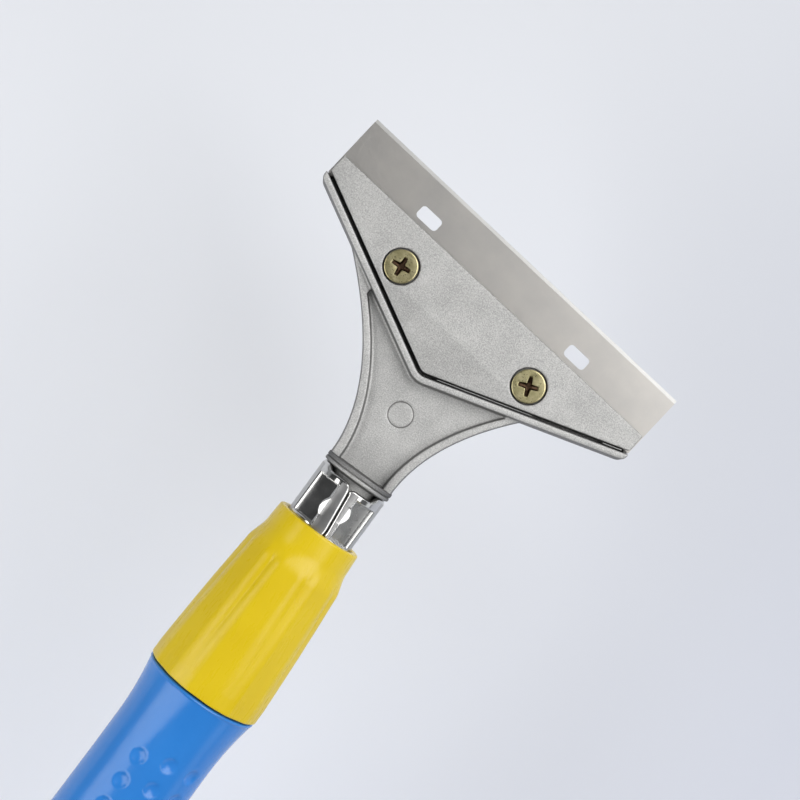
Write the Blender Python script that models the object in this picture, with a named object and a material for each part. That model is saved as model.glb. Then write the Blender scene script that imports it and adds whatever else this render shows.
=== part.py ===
# Extendable scraper: a wide blade clamped in a die-cast head, on a telescoping handle.
# Metres, +Z up. The origin is the middle of the flat butt, and +Y runs up the handle to the head.
# The blade looks up, and its edge leans a few degrees clockwise from square, seen from above.
import math

import bmesh
import bpy
from mathutils import Matrix, Vector

MM = 0.001

# General values
SEAT_GAP = 0.3 * MM            # between pieces that touch
CUT_OVER = 1.0 * MM            # how far a cutter runs past what it cuts
ROUND_SIDES = 48

# Head: where it stands on the handle axis, and how it leans
HEAD_LEAN = math.radians(7.0)
EDGE_AHEAD = 16.5 * MM         # cutting edge in front of the point where the two lines cross

# Blade
BLADE_WIDTH = 100.0 * MM
BLADE_DEPTH = 17.4 * MM
BLADE_THICK = 0.5 * MM
BLADE_GRIND = 1.3 * MM         # width of the ground bevel
BLADE_EDGE_THICK = 0.05 * MM
SLOT_LENGTH = 6.4 * MM
SLOT_WIDTH = 3.9 * MM
SLOT_CORNER = 1.0 * MM
SLOT_PITCH = 49.2 * MM

# Clamp plate: depths are measured back from the cutting edge
PLATE_WIDTH = 99.2 * MM
PLATE_FRONT_DEPTH = 12.0 * MM
PLATE_SIDE_DEPTH = 16.9 * MM
PLATE_APEX_DEPTH = 37.4 * MM
PLATE_APEX_ROUND = 3.0 * MM
PLATE_CREASE_DEPTH = 26.2 * MM
PLATE_THICK = 3.0 * MM
PLATE_FRONT_THICK = 1.2 * MM
PLATE_EDGE_ROUND = 0.25 * MM

# Screws
SCREW_PITCH = 42.2 * MM
SCREW_DEPTH = 22.3 * MM
SCREW_HEAD_DIAMETER = 8.4 * MM
SCREW_HEAD_HEIGHT = 1.45 * MM
SCREW_HEAD_ROUND = 0.35 * MM
SCREW_SHANK_DIAMETER = 4.0 * MM
SCREW_SHANK_LENGTH = 6.6 * MM
SCREW_TIP = 0.5 * MM
SCREW_RECESS_DIAMETER = 9.1 * MM
SCREW_RECESS_FLOOR = 1.2 * MM  # plate left under the head
CROSS_SPAN = 5.9 * MM
CROSS_ARM = 1.2 * MM
CROSS_DEPTH = 1.0 * MM
CROSS_FLOOR_SPAN = 2.4 * MM
LEFT_CROSS_TURN = math.radians(25.0)
RIGHT_CROSS_TURN = math.radians(11.0)

# Head casting: the vee and its floor
FLOOR_THICK = 5.0 * MM
FLOOR_SIDE = 0.4 * MM          # floor past the plate's side
FLOOR_SET_BACK = 0.4 * MM      # floor's front behind the plate's front
PAD_INSET = 1.2 * MM
PAD_END = 3.0 * MM             # cut off each sharp end of the pad
RIB_GAP = 0.9 * MM             # dark line between plate and rib
RIB_WIDTH = 1.75 * MM
RIB_SKIRT = 0.45 * MM          # how far the rib's outer side spreads down to the parting line
RIB_ROUND = 0.5 * MM
ARM_CORNER = 1.3 * MM          # round corner at each arm's end
FLOOR_DRAFT = 0.2 * MM         # how far the floor's side draws in below the parting line

# Head casting: the web, measured back along the handle from the crossing point
WEB_START = 4.0 * MM
NECK_REACH = 48.5 * MM         # where the web is narrowest
NECK_WIDTH = 18.3 * MM
FLARE_REACH = 39.5 * MM
FLARE_RISE = 22.3 * MM         # how far each side has spread at the flare's reach
FLARE_POWER = 1.9
RIM_WIDTH = 2.1 * MM
RIM_HEIGHT = 1.6 * MM          # over the pocket's floor, at the arms
RIM_HEIGHT_NECK = 2.9 * MM     # the same, at the neck
POCKET_DRAFT = 0.35 * MM
POCKET_FLOOR = 0.3 * MM        # pocket's floor over the handle axis
WEB_DRAFT = 0.45 * MM
WEB_PARTING = 1.5 * MM         # parting line under the handle axis
WEB_BELOW = 4.6 * MM
NECK_BELOW = 7.0 * MM
WEB_CHAMFER = 0.9 * MM
NECK_CHAMFER_X = 2.7 * MM
NECK_CHAMFER_Z = 3.9 * MM
WEB_STATIONS = 22
FLANGE_DIAMETER = 18.7 * MM
FLANGE_THICK = 2.2 * MM
FLANGE_ROUND = 0.5 * MM
TANG_DIAMETER = 14.6 * MM
TANG_LENGTH = 27.0 * MM
TANG_WAIST_DIAMETER = 14.0 * MM

# Inner tube: rolled sheet with an open seam
TUBE_DIAMETER = 18.3 * MM
TUBE_WALL = 0.8 * MM
TUBE_SHOWN = 14.6 * MM         # between the flange and the collar, pushed right in
SEAM_TURN = math.radians(4.5)  # the seam lies a little to the right of the top
SEAM_WIDTH = 0.5 * MM
SEAM_LIP = 0.9 * MM            # width over which the sheet's edge turns in
SEAM_DROP = 0.75 * MM          # how far it turns in
NOTCH_DEPTH = 1.7 * MM         # how far the tube's end is cut back at the seam
NOTCH_HALF = 8.6 * MM          # half width of that notch, round the tube
NOTCH_LIP = 1.3 * MM           # round corner of each lip in the notch
NOTCH_BLEND = 3.0 * MM         # length over which the rows of points recover from the notch
PANEL_WIDTH = 6.4 * MM
PANEL_LENGTH = 11.6 * MM
PANEL_DEPTH = 0.95 * MM
PANEL_BORDER = 0.9 * MM        # width of the panel's sloping border
PANEL_SET = 2.0 * MM           # from the tube's end to the panel
PANEL_AWAY = 5.9 * MM          # from the top to the panel's middle, round the tube
CRIMP_BITE = 0.8 * MM          # how far the crimp widens the panel towards the seam
CRIMP_LENGTH = 4.4 * MM
TUBE_COLUMNS = 72
COLUMN_CROWDING = 0.11         # share by which the columns lie closer together near the seam
TUBE_ROWS = 15
TUBE_PRESSED = 15.5 * MM       # length that holds notch and panels

# Guide bush and its rivet
BUSH_RUN = 24.0 * MM           # length of the guide
BUSH_ROOM = 5.1 * MM           # between the guide and the end cap's plug, pushed right in
BUSH_PLUG = 16.0 * MM
BUSH_PLUG_DIAMETER = 14.4 * MM
RIVET_DIAMETER = 3.0 * MM
RIVET_FROM_END = 8.0 * MM

# Handle: outer tube, grip and end cap
SLIDE_GAP = 0.3 * MM
BUSH_DIAMETER = 19.0 * MM
OUTER_WALL = 0.9 * MM
GRIP_LENGTH = 179.1 * MM
GRIP_WAIST_DIAMETER = 26.8 * MM
GRIP_MOUTH_DIAMETER = 30.3 * MM
GRIP_MOUTH_REACH = 17.0 * MM   # from the mouth to the waist
GRIP_MOUTH_POWER = 2
GRIP_SWELL = 0.9 * MM          # palm swell on the radius
GRIP_FOOT_DIAMETER = 29.4 * MM
GRIP_FOOT_REACH = 16.0 * MM
GRIP_MOUTH_RING = 0.8 * MM
GRIP_EDGE = 0.5 * MM
GRIP_STATIONS = 18
CAP_LENGTH = 21.0 * MM
CAP_DIAMETER = 28.8 * MM
CAP_END_DIAMETER = 20.6 * MM
CAP_ROUND_STEPS = 6
CAP_PLUG_LENGTH = 16.0 * MM
HANG_HOLE_DIAMETER = 8.0 * MM
HANG_HOLE_FROM_END = 9.0 * MM

# Twist lock: collar, threaded sleeve and clamp ring
COLLAR_LENGTH = 47.4 * MM
COLLAR_GAP = 0.5 * MM          # between collar and grip
COLLAR_MOUTH_GAP = 0.4 * MM
COLLAR_LIP_DIAMETER = 23.0 * MM
COLLAR_LIP_FLARE = 0.3 * MM    # on the radius, from the mouth to the lip's foot
COLLAR_LIP_LENGTH = 5.0 * MM
COLLAR_SHOULDER_DIAMETER = 26.5 * MM
COLLAR_SHOULDER_LENGTH = 7.0 * MM
COLLAR_FOOT_DIAMETER = 30.5 * MM
COLLAR_FOOT_LENGTH = 4.0 * MM
COLLAR_BULGE = 0.16 * MM       # how far the side bows out of a straight cone
COLLAR_EDGE = 0.4 * MM
COLLAR_MOUTH_LENGTH = 5.6 * MM
COLLAR_COUNTERBORE = 8.0 * MM
PETAL_COUNT = 8
PETAL_FLAT = math.radians(11.25) # half of the angle over which a petal's middle is flat
PETAL_TOP = 6.4 * MM           # from the mouth to the arched top of a petal
PETAL_ARCH = 2.5 * MM          # height of that arch
PETAL_BLEND = 4.0 * MM         # length over which a petal rises out of the shoulder
CREASE_DEPTH = 0.75 * MM       # of the valley between two petals, at the top
CREASE_FADE_SHARE = 0.1       # share of that depth which is left at the foot
COLLAR_SIDES = 64
COLLAR_STATIONS = 8
THREAD_DIAMETER = 24.0 * MM
THREAD_GAP = 0.3 * MM
SLEEVE_FLANGE_DIAMETER = 27.2 * MM
SLEEVE_FLANGE_THICK = 3.0 * MM
SLEEVE_STOP_LENGTH = 8.9 * MM  # from the sleeve's inner stop to its end
RING_LENGTH = 12.4 * MM
RING_CONE_LENGTH = 10.3 * MM
RING_TOP_DIAMETER = 20.6 * MM
RING_SLIT = 2.0 * MM

# Where things stand along the handle axis
GRIP_TOP = CAP_LENGTH + SEAT_GAP + GRIP_LENGTH
COLLAR_FOOT = GRIP_TOP + COLLAR_GAP
COLLAR_TOP = COLLAR_FOOT + COLLAR_LENGTH
TUBE_TOP = COLLAR_TOP + TUBE_SHOWN
FLANGE_BACK = TUBE_TOP + SEAT_GAP
FLANGE_FRONT = FLANGE_BACK + FLANGE_THICK
CROSSING = FLANGE_FRONT + NECK_REACH + FLANGE_ROUND
TUBE_END = CAP_LENGTH + CAP_PLUG_LENGTH + BUSH_ROOM + BUSH_RUN + SEAT_GAP

RING_TOP = COLLAR_TOP - COLLAR_MOUTH_LENGTH - SEAT_GAP
RING_CONE_FOOT = RING_TOP - RING_CONE_LENGTH
RING_FOOT = RING_TOP - RING_LENGTH
SLEEVE_TOP = RING_FOOT - SEAT_GAP
SLEEVE_STOP = SLEEVE_TOP - SLEEVE_STOP_LENGTH

# Radii that follow from the pieces inside one another
TUBE_RADIUS = TUBE_DIAMETER / 2
OUTER_BORE = BUSH_DIAMETER / 2 + SLIDE_GAP
OUTER_RADIUS = OUTER_BORE + OUTER_WALL
SLEEVE_BORE = OUTER_RADIUS + SEAT_GAP
THREAD_RADIUS = THREAD_DIAMETER / 2
COLLAR_BORE = THREAD_RADIUS + THREAD_GAP
COLLAR_MOUTH = TUBE_RADIUS + COLLAR_MOUTH_GAP
RING_BORE = TUBE_RADIUS + SLIDE_GAP

# Heights, from the handle axis
BLADE_BOTTOM = SEAT_GAP
BLADE_TOP = BLADE_BOTTOM + BLADE_THICK
PLATE_BOTTOM = BLADE_TOP + SEAT_GAP
PLATE_TOP = PLATE_BOTTOM + PLATE_THICK
PAD_TOP = PLATE_BOTTOM - SEAT_GAP

# Places in the head's own frame: y is zero where the head's line crosses the handle axis
PLATE_FRONT = EDGE_AHEAD - PLATE_FRONT_DEPTH
PLATE_SIDE = EDGE_AHEAD - PLATE_SIDE_DEPTH
PLATE_APEX = EDGE_AHEAD - PLATE_APEX_DEPTH
PLATE_CREASE = EDGE_AHEAD - PLATE_CREASE_DEPTH
BLADE_BACK = EDGE_AHEAD - BLADE_DEPTH
SCREW_Y = EDGE_AHEAD - SCREW_DEPTH
VEE_ANGLE = math.atan2(PLATE_SIDE - PLATE_APEX, PLATE_WIDTH / 2)


# Scene and materials
def clear_scene():
    """Take away whatever the scene holds."""
    for old in list(bpy.data.objects):
        bpy.data.objects.remove(old, do_unlink=True)


def finish(name, colour, roughness, metallic=0.0):
    """A Principled material."""
    material = bpy.data.materials.new(name)
    material.use_nodes = True
    shader = material.node_tree.nodes["Principled BSDF"]
    shader.inputs["Base Color"].default_value = (*colour, 1.0)
    shader.inputs["Roughness"].default_value = roughness
    shader.inputs["Metallic"].default_value = metallic
    return material


# Mesh helpers
def put(name, bm, material, parent=None):
    """Turn a bmesh into a named object with its normals outward."""
    bmesh.ops.recalc_face_normals(bm, faces=bm.faces)
    mesh = bpy.data.meshes.new(name)
    bm.to_mesh(mesh)
    bm.free()
    piece = bpy.data.objects.new(name, mesh)
    bpy.context.collection.objects.link(piece)
    mesh.materials.append(material)
    piece.parent = parent
    return piece


def shade(piece, degrees=35.0):
    """Smooth shading with crisp edges."""
    piece.data.shade_smooth()
    piece.data.set_sharp_from_angle(angle=math.radians(degrees))


def skin(rings, loop=False):
    """Join rings of points into a tube: a closed loop of rings, or a run with both ends capped."""
    bm = bmesh.new()
    made = [[bm.verts.new(point) for point in ring] for ring in rings]
    pairs = list(zip(made, made[1:]))
    if loop:
        pairs.append((made[-1], made[0]))
    for low, high in pairs:
        for i in range(len(low)):
            j = (i + 1) % len(low)
            bm.faces.new((low[i], low[j], high[j], high[i]))
    if not loop:
        bm.faces.new(made[0])
        bm.faces.new(made[-1])
    return bm


def ring(radius, y, sides=ROUND_SIDES):
    """Points of one circle round the handle axis. The radius may follow the angle."""
    points = []
    for i in range(sides):
        angle = 2 * math.pi * i / sides
        reach = radius(angle) if callable(radius) else radius
        points.append(Vector((reach * math.sin(angle), y, reach * math.cos(angle))))
    return points


def turned(profile, loop=True, sides=ROUND_SIDES):
    """A body turned round the handle axis from a profile of (y, radius)."""
    return skin([ring(radius, y, sides) for y, radius in profile], loop)


def prism(outline, low, high):
    """An outline in x and y, raised from one height to another."""
    return skin([[Vector((x, y, z)) for x, y in outline] for z in (low, high)])


def rod(radius, low, high, x=0.0, y=0.0, sides=24, top_radius=None):
    """An upright rod or cone between two heights."""
    rings = []
    for z, reach in ((low, radius), (high, radius if top_radius is None else top_radius)):
        turns = [2 * math.pi * i / sides for i in range(sides)]
        rings.append([Vector((x + reach * math.cos(t), y + reach * math.sin(t), z)) for t in turns])
    return skin(rings)


def bevel_top(bm, height, width, segments=2):
    """Round the edges that lie at one height."""
    bm.edges.ensure_lookup_table()
    near = MM / 1000
    edges = [e for e in bm.edges if all(abs(v.co.z - height) < near for v in e.verts)]
    bmesh.ops.bevel(bm, geom=edges, offset=width, segments=segments, profile=0.5,
                    affect="EDGES", clamp_overlap=True)


def combine(piece, tool, operation):
    """Apply an exact Boolean and drop the tool."""
    step = piece.modifiers.new(operation.lower(), "BOOLEAN")
    step.operation = operation
    step.solver = "EXACT"
    step.object = tool
    bpy.context.view_layer.update()
    done = bpy.data.meshes.new_from_object(piece.evaluated_get(bpy.context.evaluated_depsgraph_get()))
    piece.modifiers.clear()
    old = piece.data
    done.name = old.name
    piece.data = done
    bpy.data.meshes.remove(old)
    bpy.data.objects.remove(tool, do_unlink=True)


def cut(piece, bm):
    """Cut a shape out of a piece."""
    combine(piece, put(piece.name + "_cutter", bm, piece.data.materials[0], piece.parent), "DIFFERENCE")


def fuse(piece, bm):
    """Fuse a shape to a piece."""
    combine(piece, put(piece.name + "_tool", bm, piece.data.materials[0], piece.parent), "UNION")


def spread(first, last, count):
    """Evenly spaced values from first to last."""
    return [first + (last - first) * i / (count - 1) for i in range(count)]


def ease(share):
    """Smooth step from 0 to 1."""
    share = min(max(share, 0.0), 1.0)
    return share * share * (3 - 2 * share)


# Outlines of the head, in its own frame
def vee_line(offset, side, corner=0.0):
    """The vee behind the plate, pushed out by an offset, from one side to the other."""
    radius = PLATE_APEX_ROUND + offset
    middle = PLATE_APEX + PLATE_APEX_ROUND / math.cos(VEE_ANGLE)
    end = PLATE_APEX - offset / math.cos(VEE_ANGLE) + side * math.tan(VEE_ANGLE)
    turn = [(side, end)]
    if corner:
        run_x = corner * math.cos(VEE_ANGLE)
        run_y = corner * math.sin(VEE_ANGLE)
        turn = []
        for t in spread(0, 1, 5):
            turn.append((side - run_x * t * t, end + corner * (1 - t) ** 2 - run_y * t * t))
    points = list(turn)
    for angle in spread(VEE_ANGLE, -VEE_ANGLE, 7):
        points.append((radius * math.sin(angle), middle - radius * math.cos(angle)))
    return points + [(-x, y) for x, y in reversed(turn)]


def vee_reach(offset, y):
    """How far out the vee line is when it comes as far forward as y."""
    return (y - PLATE_APEX + offset / math.cos(VEE_ANGLE)) / math.tan(VEE_ANGLE)


def vee_outline(offset, side, front, corner=0.0):
    """The vee closed by a straight front edge."""
    return [(-side, front), (side, front)] + vee_line(offset, side, corner)


def vee_body(levels, front, corner=0.0):
    """A vee block built up from levels of (height, offset, side)."""
    return skin([[Vector((x, y, z)) for x, y in vee_outline(offset, side, front, corner)]
                 for z, offset, side in levels])


def rounded_box(width, depth, corner, x=0.0, y=0.0, steps=4):
    """A rectangle with round corners."""
    points = []
    for k, (sx, sy) in enumerate(((1, 1), (-1, 1), (-1, -1), (1, -1))):
        for angle in spread(0, math.pi / 2, steps):
            turn = angle + k * math.pi / 2
            points.append((x + sx * (width / 2 - corner) + corner * math.cos(turn),
                           y + sy * (depth / 2 - corner) + corner * math.sin(turn)))
    return points


def head_place():
    """Where the head's frame stands: on the handle axis, leaning."""
    return Matrix.Translation((0, CROSSING, 0)) @ Matrix.Rotation(-HEAD_LEAN, 4, "Z")


def in_head(bm):
    """Move a shape from the head's frame to the handle's frame."""
    bmesh.ops.transform(bm, matrix=head_place(), verts=bm.verts)
    return bm


# Head casting
def web_half(back):
    """Half width of the web at a distance behind the crossing point."""
    run = max(NECK_REACH - back, 0.0) / FLARE_REACH
    return NECK_WIDTH / 2 + FLARE_RISE * run ** FLARE_POWER


def web_section(back):
    """One section across the web: a tray with two rims, which deepens towards the neck."""
    share = ease((back - WEB_START) / (NECK_REACH - WEB_START))
    half = web_half(back)
    top = POCKET_FLOOR + RIM_HEIGHT + (RIM_HEIGHT_NECK - RIM_HEIGHT) * share
    below = -(WEB_BELOW + (NECK_BELOW - WEB_BELOW) * share)
    chamfer_x = WEB_CHAMFER + (NECK_CHAMFER_X - WEB_CHAMFER) * share
    chamfer_z = WEB_CHAMFER + (NECK_CHAMFER_Z - WEB_CHAMFER) * share
    side = half - WEB_DRAFT
    inner = side - RIM_WIDTH
    right = [(side - chamfer_x, below), (side, below + chamfer_z), (half, -WEB_PARTING), (side, top),
             (inner, top), (inner - POCKET_DRAFT, POCKET_FLOOR)]
    left = [(-x, z) for x, z in reversed(right)]
    return [Vector((x, CROSSING - back, z)) for x, z in right + left]


def make_casting(material):
    """Web, flange and tang in line with the handle; vee, floor and pad in line with the blade."""
    web_end = CROSSING - FLANGE_BACK - FLANGE_THICK / 2
    casting = put("head_casting", skin([web_section(b) for b in spread(WEB_START, web_end, WEB_STATIONS)]),
                  material)
    half = PLATE_WIDTH / 2
    rib_out = RIB_GAP + RIB_WIDTH
    wide = half + FLOOR_SIDE
    front = PLATE_FRONT - FLOOR_SET_BACK
    past = EDGE_AHEAD + CUT_OVER
    clear = rib_out - RIB_WIDTH / 2
    over = PLATE_TOP + CUT_OVER
    cut(casting, in_head(vee_body([(-SEAT_GAP, clear, wide), (over, clear, wide)], past)))

    vee = put("vee_tool", vee_body([
        (-FLOOR_THICK, rib_out + RIB_SKIRT - FLOOR_DRAFT, wide - FLOOR_DRAFT),
        (-WEB_PARTING, rib_out + RIB_SKIRT, wide),
        (PLATE_TOP - RIB_ROUND, rib_out, wide),
        (PLATE_TOP - RIB_ROUND / 4, rib_out - RIB_ROUND / 4, wide - RIB_ROUND / 4),
        (PLATE_TOP, rib_out - RIB_ROUND, wide - RIB_ROUND),
    ], front, ARM_CORNER), material)
    reach = wide + CUT_OVER
    cut(vee, vee_body([
        (0, RIB_GAP, reach), (PLATE_TOP - RIB_ROUND, RIB_GAP, reach),
        (PLATE_TOP - RIB_ROUND / 4, RIB_GAP + RIB_ROUND / 4, reach),
        (PLATE_TOP, RIB_GAP + RIB_ROUND, reach), (over, RIB_GAP + RIB_ROUND, reach),
    ], past))
    vee.matrix_world = head_place()
    bpy.context.view_layer.update()
    combine(casting, vee, "UNION")

    pad_front = BLADE_BACK - SEAT_GAP
    pad = vee_outline(-PAD_INSET, vee_reach(-PAD_INSET, pad_front) - PAD_END, pad_front)
    fuse(casting, in_head(prism(pad, -FLOOR_THICK / 2, PAD_TOP)))

    waist = TANG_WAIST_DIAMETER / 2
    tang = TANG_DIAMETER / 2
    flange = FLANGE_DIAMETER / 2
    tang_end = FLANGE_BACK - TANG_LENGTH
    waist_top = TUBE_TOP - PANEL_SET + PANEL_BORDER
    waist_foot = TUBE_TOP - PANEL_SET - PANEL_LENGTH - PANEL_BORDER
    slope = tang - waist
    fuse(casting, turned([
        (tang_end, tang - slope), (tang_end + slope, tang), (waist_foot - slope, tang),
        (waist_foot, waist), (waist_top, waist), (FLANGE_BACK, waist),
        (FLANGE_BACK, flange - FLANGE_ROUND), (FLANGE_BACK + FLANGE_ROUND, flange),
        (FLANGE_FRONT - FLANGE_ROUND, flange), (FLANGE_FRONT, flange - FLANGE_ROUND),
    ], loop=False))

    for side in (-1, 1):
        hole = SCREW_SHANK_DIAMETER / 2 + SEAT_GAP
        drill = rod(hole, -FLOOR_THICK - CUT_OVER, PAD_TOP + CUT_OVER, side * SCREW_PITCH / 2, SCREW_Y)
        cut(casting, in_head(drill))
    shade(casting)
    return casting


# Blade, plate and screws, in the head's frame
def make_blade(material, head):
    """A strip ground from above along its front, with two slots on its middle line."""
    back = BLADE_BACK
    section = [(EDGE_AHEAD, BLADE_BOTTOM), (EDGE_AHEAD, BLADE_BOTTOM + BLADE_EDGE_THICK),
               (EDGE_AHEAD - BLADE_GRIND, BLADE_TOP), (back, BLADE_TOP), (back, BLADE_BOTTOM)]
    ends = (-BLADE_WIDTH / 2, BLADE_WIDTH / 2)
    blade = put("blade", skin([[Vector((x, y, z)) for y, z in section] for x in ends]), material, head)
    for side in (-1, 1):
        slot = rounded_box(SLOT_LENGTH, SLOT_WIDTH, SLOT_CORNER, side * SLOT_PITCH / 2,
                           EDGE_AHEAD - BLADE_DEPTH / 2)
        cut(blade, prism(slot, BLADE_BOTTOM - CUT_OVER, BLADE_TOP + CUT_OVER))
    return blade


def make_plate(material, head):
    """A five-sided plate, thinned towards its front from a crease, with two round recesses."""
    outline = vee_outline(0, PLATE_WIDTH / 2, PLATE_FRONT)
    body = prism(outline, PLATE_BOTTOM, PLATE_TOP)
    bevel_top(body, PLATE_TOP, PLATE_EDGE_ROUND)
    plate = put("clamp_plate", body, material, head)

    drop = (PLATE_THICK - PLATE_FRONT_THICK) / (PLATE_FRONT - PLATE_CREASE)
    ahead = PLATE_FRONT + CUT_OVER
    wedge = [(PLATE_CREASE, PLATE_TOP), (ahead, PLATE_TOP - drop * (ahead - PLATE_CREASE)),
             (ahead, PLATE_TOP + CUT_OVER), (PLATE_CREASE, PLATE_TOP + CUT_OVER)]
    reach = PLATE_WIDTH / 2 + CUT_OVER
    cut(plate, skin([[Vector((x, y, z)) for y, z in wedge] for x in (-reach, reach)]))

    for side in (-1, 1):
        x = side * SCREW_PITCH / 2
        floor = PLATE_BOTTOM + SCREW_RECESS_FLOOR
        cut(plate, rod(SCREW_RECESS_DIAMETER / 2, floor, PLATE_TOP + CUT_OVER, x, SCREW_Y, 32))
        hole = SCREW_SHANK_DIAMETER / 2 + SEAT_GAP
        cut(plate, rod(hole, PLATE_BOTTOM - CUT_OVER, PLATE_TOP, x, SCREW_Y))
    shade(plate)
    return plate


def screw_ring(radius, z, sides=32):
    """One circle of the screw, about its own axis."""
    turns = [2 * math.pi * i / sides for i in range(sides)]
    return [Vector((radius * math.cos(t), radius * math.sin(t), z)) for t in turns]


def make_screw(name, side, turn, material, head):
    """A low round head with a tapered cross recess, on a plain shank."""
    top = PLATE_BOTTOM + SCREW_RECESS_FLOOR + SEAT_GAP + SCREW_HEAD_HEIGHT
    under = top - SCREW_HEAD_HEIGHT
    tip = under - SCREW_SHANK_LENGTH
    radius = SCREW_HEAD_DIAMETER / 2
    shank = SCREW_SHANK_DIAMETER / 2
    rings = [screw_ring(shank - SCREW_TIP, tip), screw_ring(shank, tip + SCREW_TIP),
             screw_ring(shank, under), screw_ring(radius, under),
             screw_ring(radius, top - SCREW_HEAD_ROUND),
             screw_ring(radius - SCREW_HEAD_ROUND / 3, top - SCREW_HEAD_ROUND / 3),
             screw_ring(radius - SCREW_HEAD_ROUND, top)]
    screw = put(name, skin(rings), material, head)
    screw.location = (side * SCREW_PITCH / 2, SCREW_Y, 0)
    screw.rotation_euler = (0, 0, turn)
    grow = (top + CUT_OVER - (top - CROSS_DEPTH)) / CROSS_DEPTH
    spans = ((CROSS_FLOOR_SPAN, top - CROSS_DEPTH),
             (CROSS_FLOOR_SPAN + (CROSS_SPAN - CROSS_FLOOR_SPAN) * grow, top + CUT_OVER))
    for quarter in (0, math.pi / 2):
        arm = skin([[Vector((x, y, z)) for x, y in
                     ((-span / 2, -CROSS_ARM / 2), (span / 2, -CROSS_ARM / 2),
                      (span / 2, CROSS_ARM / 2), (-span / 2, CROSS_ARM / 2))] for span, z in spans])
        bmesh.ops.rotate(arm, cent=(0, 0, 0), matrix=Matrix.Rotation(quarter, 3, "Z"), verts=arm.verts)
        tool = put(name + "_cross", arm, material, head)
        tool.matrix_local = screw.matrix_basis.copy()
        bpy.context.view_layer.update()
        combine(screw, tool, "DIFFERENCE")
    shade(screw)
    return screw


# Inner tube
def notch_depth(along, to_edge):
    """How far the tube's end lies back at a place on the sheet."""
    wide = max(1 - along / NOTCH_HALF, 0.0)
    lip = min(max(1 - to_edge / NOTCH_LIP, 0.0), 1.0)
    return NOTCH_DEPTH * wide + NOTCH_LIP * (1 - math.sqrt(1 - lip * lip))


def panel_drop(along, y):
    """How deep the pressed panel lies. A crimp bites into its side next to the seam."""
    middle = TUBE_TOP - PANEL_SET - PANEL_LENGTH / 2
    bite = CRIMP_BITE * (1 - ease(abs(y - middle) / (CRIMP_LENGTH / 2)))
    near_side = along - (PANEL_AWAY - PANEL_WIDTH / 2) + bite
    far_side = PANEL_AWAY + PANEL_WIDTH / 2 - along
    end = PANEL_LENGTH / 2 - abs(y - middle)
    return PANEL_DEPTH * min(ease(edge / PANEL_BORDER) for edge in (near_side, far_side, end))


def sheet_shares():
    """Places across the sheet as shares from seam to seam, closer together near the seam."""
    even = [i / TUBE_COLUMNS for i in range(TUBE_COLUMNS + 1)]
    return [share - COLUMN_CROWDING * math.sin(2 * math.pi * share) for share in even]


def sheet_row(down):
    """Outer and inner points of the rolled sheet at one distance below the tube's end."""
    row = []
    open_angle = SEAM_WIDTH / 2 / TUBE_RADIUS
    recover = max(1 - down / NOTCH_BLEND, 0.0)
    for share in sheet_shares():
        from_seam = open_angle + (2 * math.pi - 2 * open_angle) * share
        to_edge = (min(from_seam, 2 * math.pi - from_seam) - open_angle) * TUBE_RADIUS
        angle = from_seam + SEAM_TURN
        along = abs((angle + math.pi) % (2 * math.pi) - math.pi) * TUBE_RADIUS
        y = TUBE_TOP - down - notch_depth(along, to_edge) * recover
        drop = SEAM_DROP * (1 - min(to_edge / SEAM_LIP, 1.0)) ** 2 + panel_drop(along, y)
        outer = TUBE_RADIUS - drop
        row.append([Vector((reach * math.sin(angle), y, reach * math.cos(angle)))
                    for reach in (outer, outer - TUBE_WALL)])
    return row


def sheet_body(rows):
    """A sheet with a thickness: two skins, joined by strips along all four edges."""
    bm = bmesh.new()
    grid = [[[bm.verts.new(point) for point in pair] for pair in row] for row in rows]
    for high, low in zip(grid, grid[1:]):
        for i in range(len(high) - 1):
            for skin_side in (0, 1):
                bm.faces.new((high[i][skin_side], high[i + 1][skin_side],
                              low[i + 1][skin_side], low[i][skin_side]))
        for i in (0, -1):
            bm.faces.new((high[i][0], low[i][0], low[i][1], high[i][1]))
    for row in (grid[0], grid[-1]):
        for left, right in zip(row, row[1:]):
            bm.faces.new((left[0], right[0], right[1], left[1]))
    return bm


def make_inner_tube(material):
    """Rolled sheet with its seam on top, notched and pressed at the head end."""
    downs = spread(0, TUBE_PRESSED, TUBE_ROWS) + [TUBE_TOP - TUBE_END]
    tube = put("inner_tube", sheet_body([sheet_row(down) for down in downs]), material)
    hole = RIVET_DIAMETER / 2 + SEAT_GAP
    cut(tube, cross_rod(hole, TUBE_RADIUS + CUT_OVER, TUBE_END + RIVET_FROM_END))
    shade(tube, 40.0)
    return tube


def cross_rod(radius, reach, y, sides=16):
    """A rod across the handle."""
    turns = [2 * math.pi * i / sides for i in range(sides)]
    return skin([[Vector((x, y + radius * math.cos(t), radius * math.sin(t))) for t in turns]
                 for x in (-reach, reach)])


def make_guide_bush(material):
    """A plug in the tube's hidden end with a guide ring below it."""
    run = BUSH_DIAMETER / 2
    plug = BUSH_PLUG_DIAMETER / 2
    top = TUBE_END - SEAT_GAP
    foot = top - BUSH_RUN
    bush = put("guide_bush", turned([
        (foot, run - SLIDE_GAP * 2), (foot + SLIDE_GAP * 2, run), (top, run), (top, plug),
        (top + BUSH_PLUG, plug),
    ], loop=False), material)
    hole = RIVET_DIAMETER / 2 + SEAT_GAP
    cut(bush, cross_rod(hole, TUBE_RADIUS + CUT_OVER, TUBE_END + RIVET_FROM_END))
    shade(bush)
    return bush


def make_bush_rivet(material):
    """The rivet lies just below the tube's surface at both ends."""
    reach = TUBE_RADIUS - SEAT_GAP / 2
    rivet = put("bush_rivet", cross_rod(RIVET_DIAMETER / 2, reach, TUBE_END + RIVET_FROM_END), material)
    shade(rivet)
    return rivet


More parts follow.
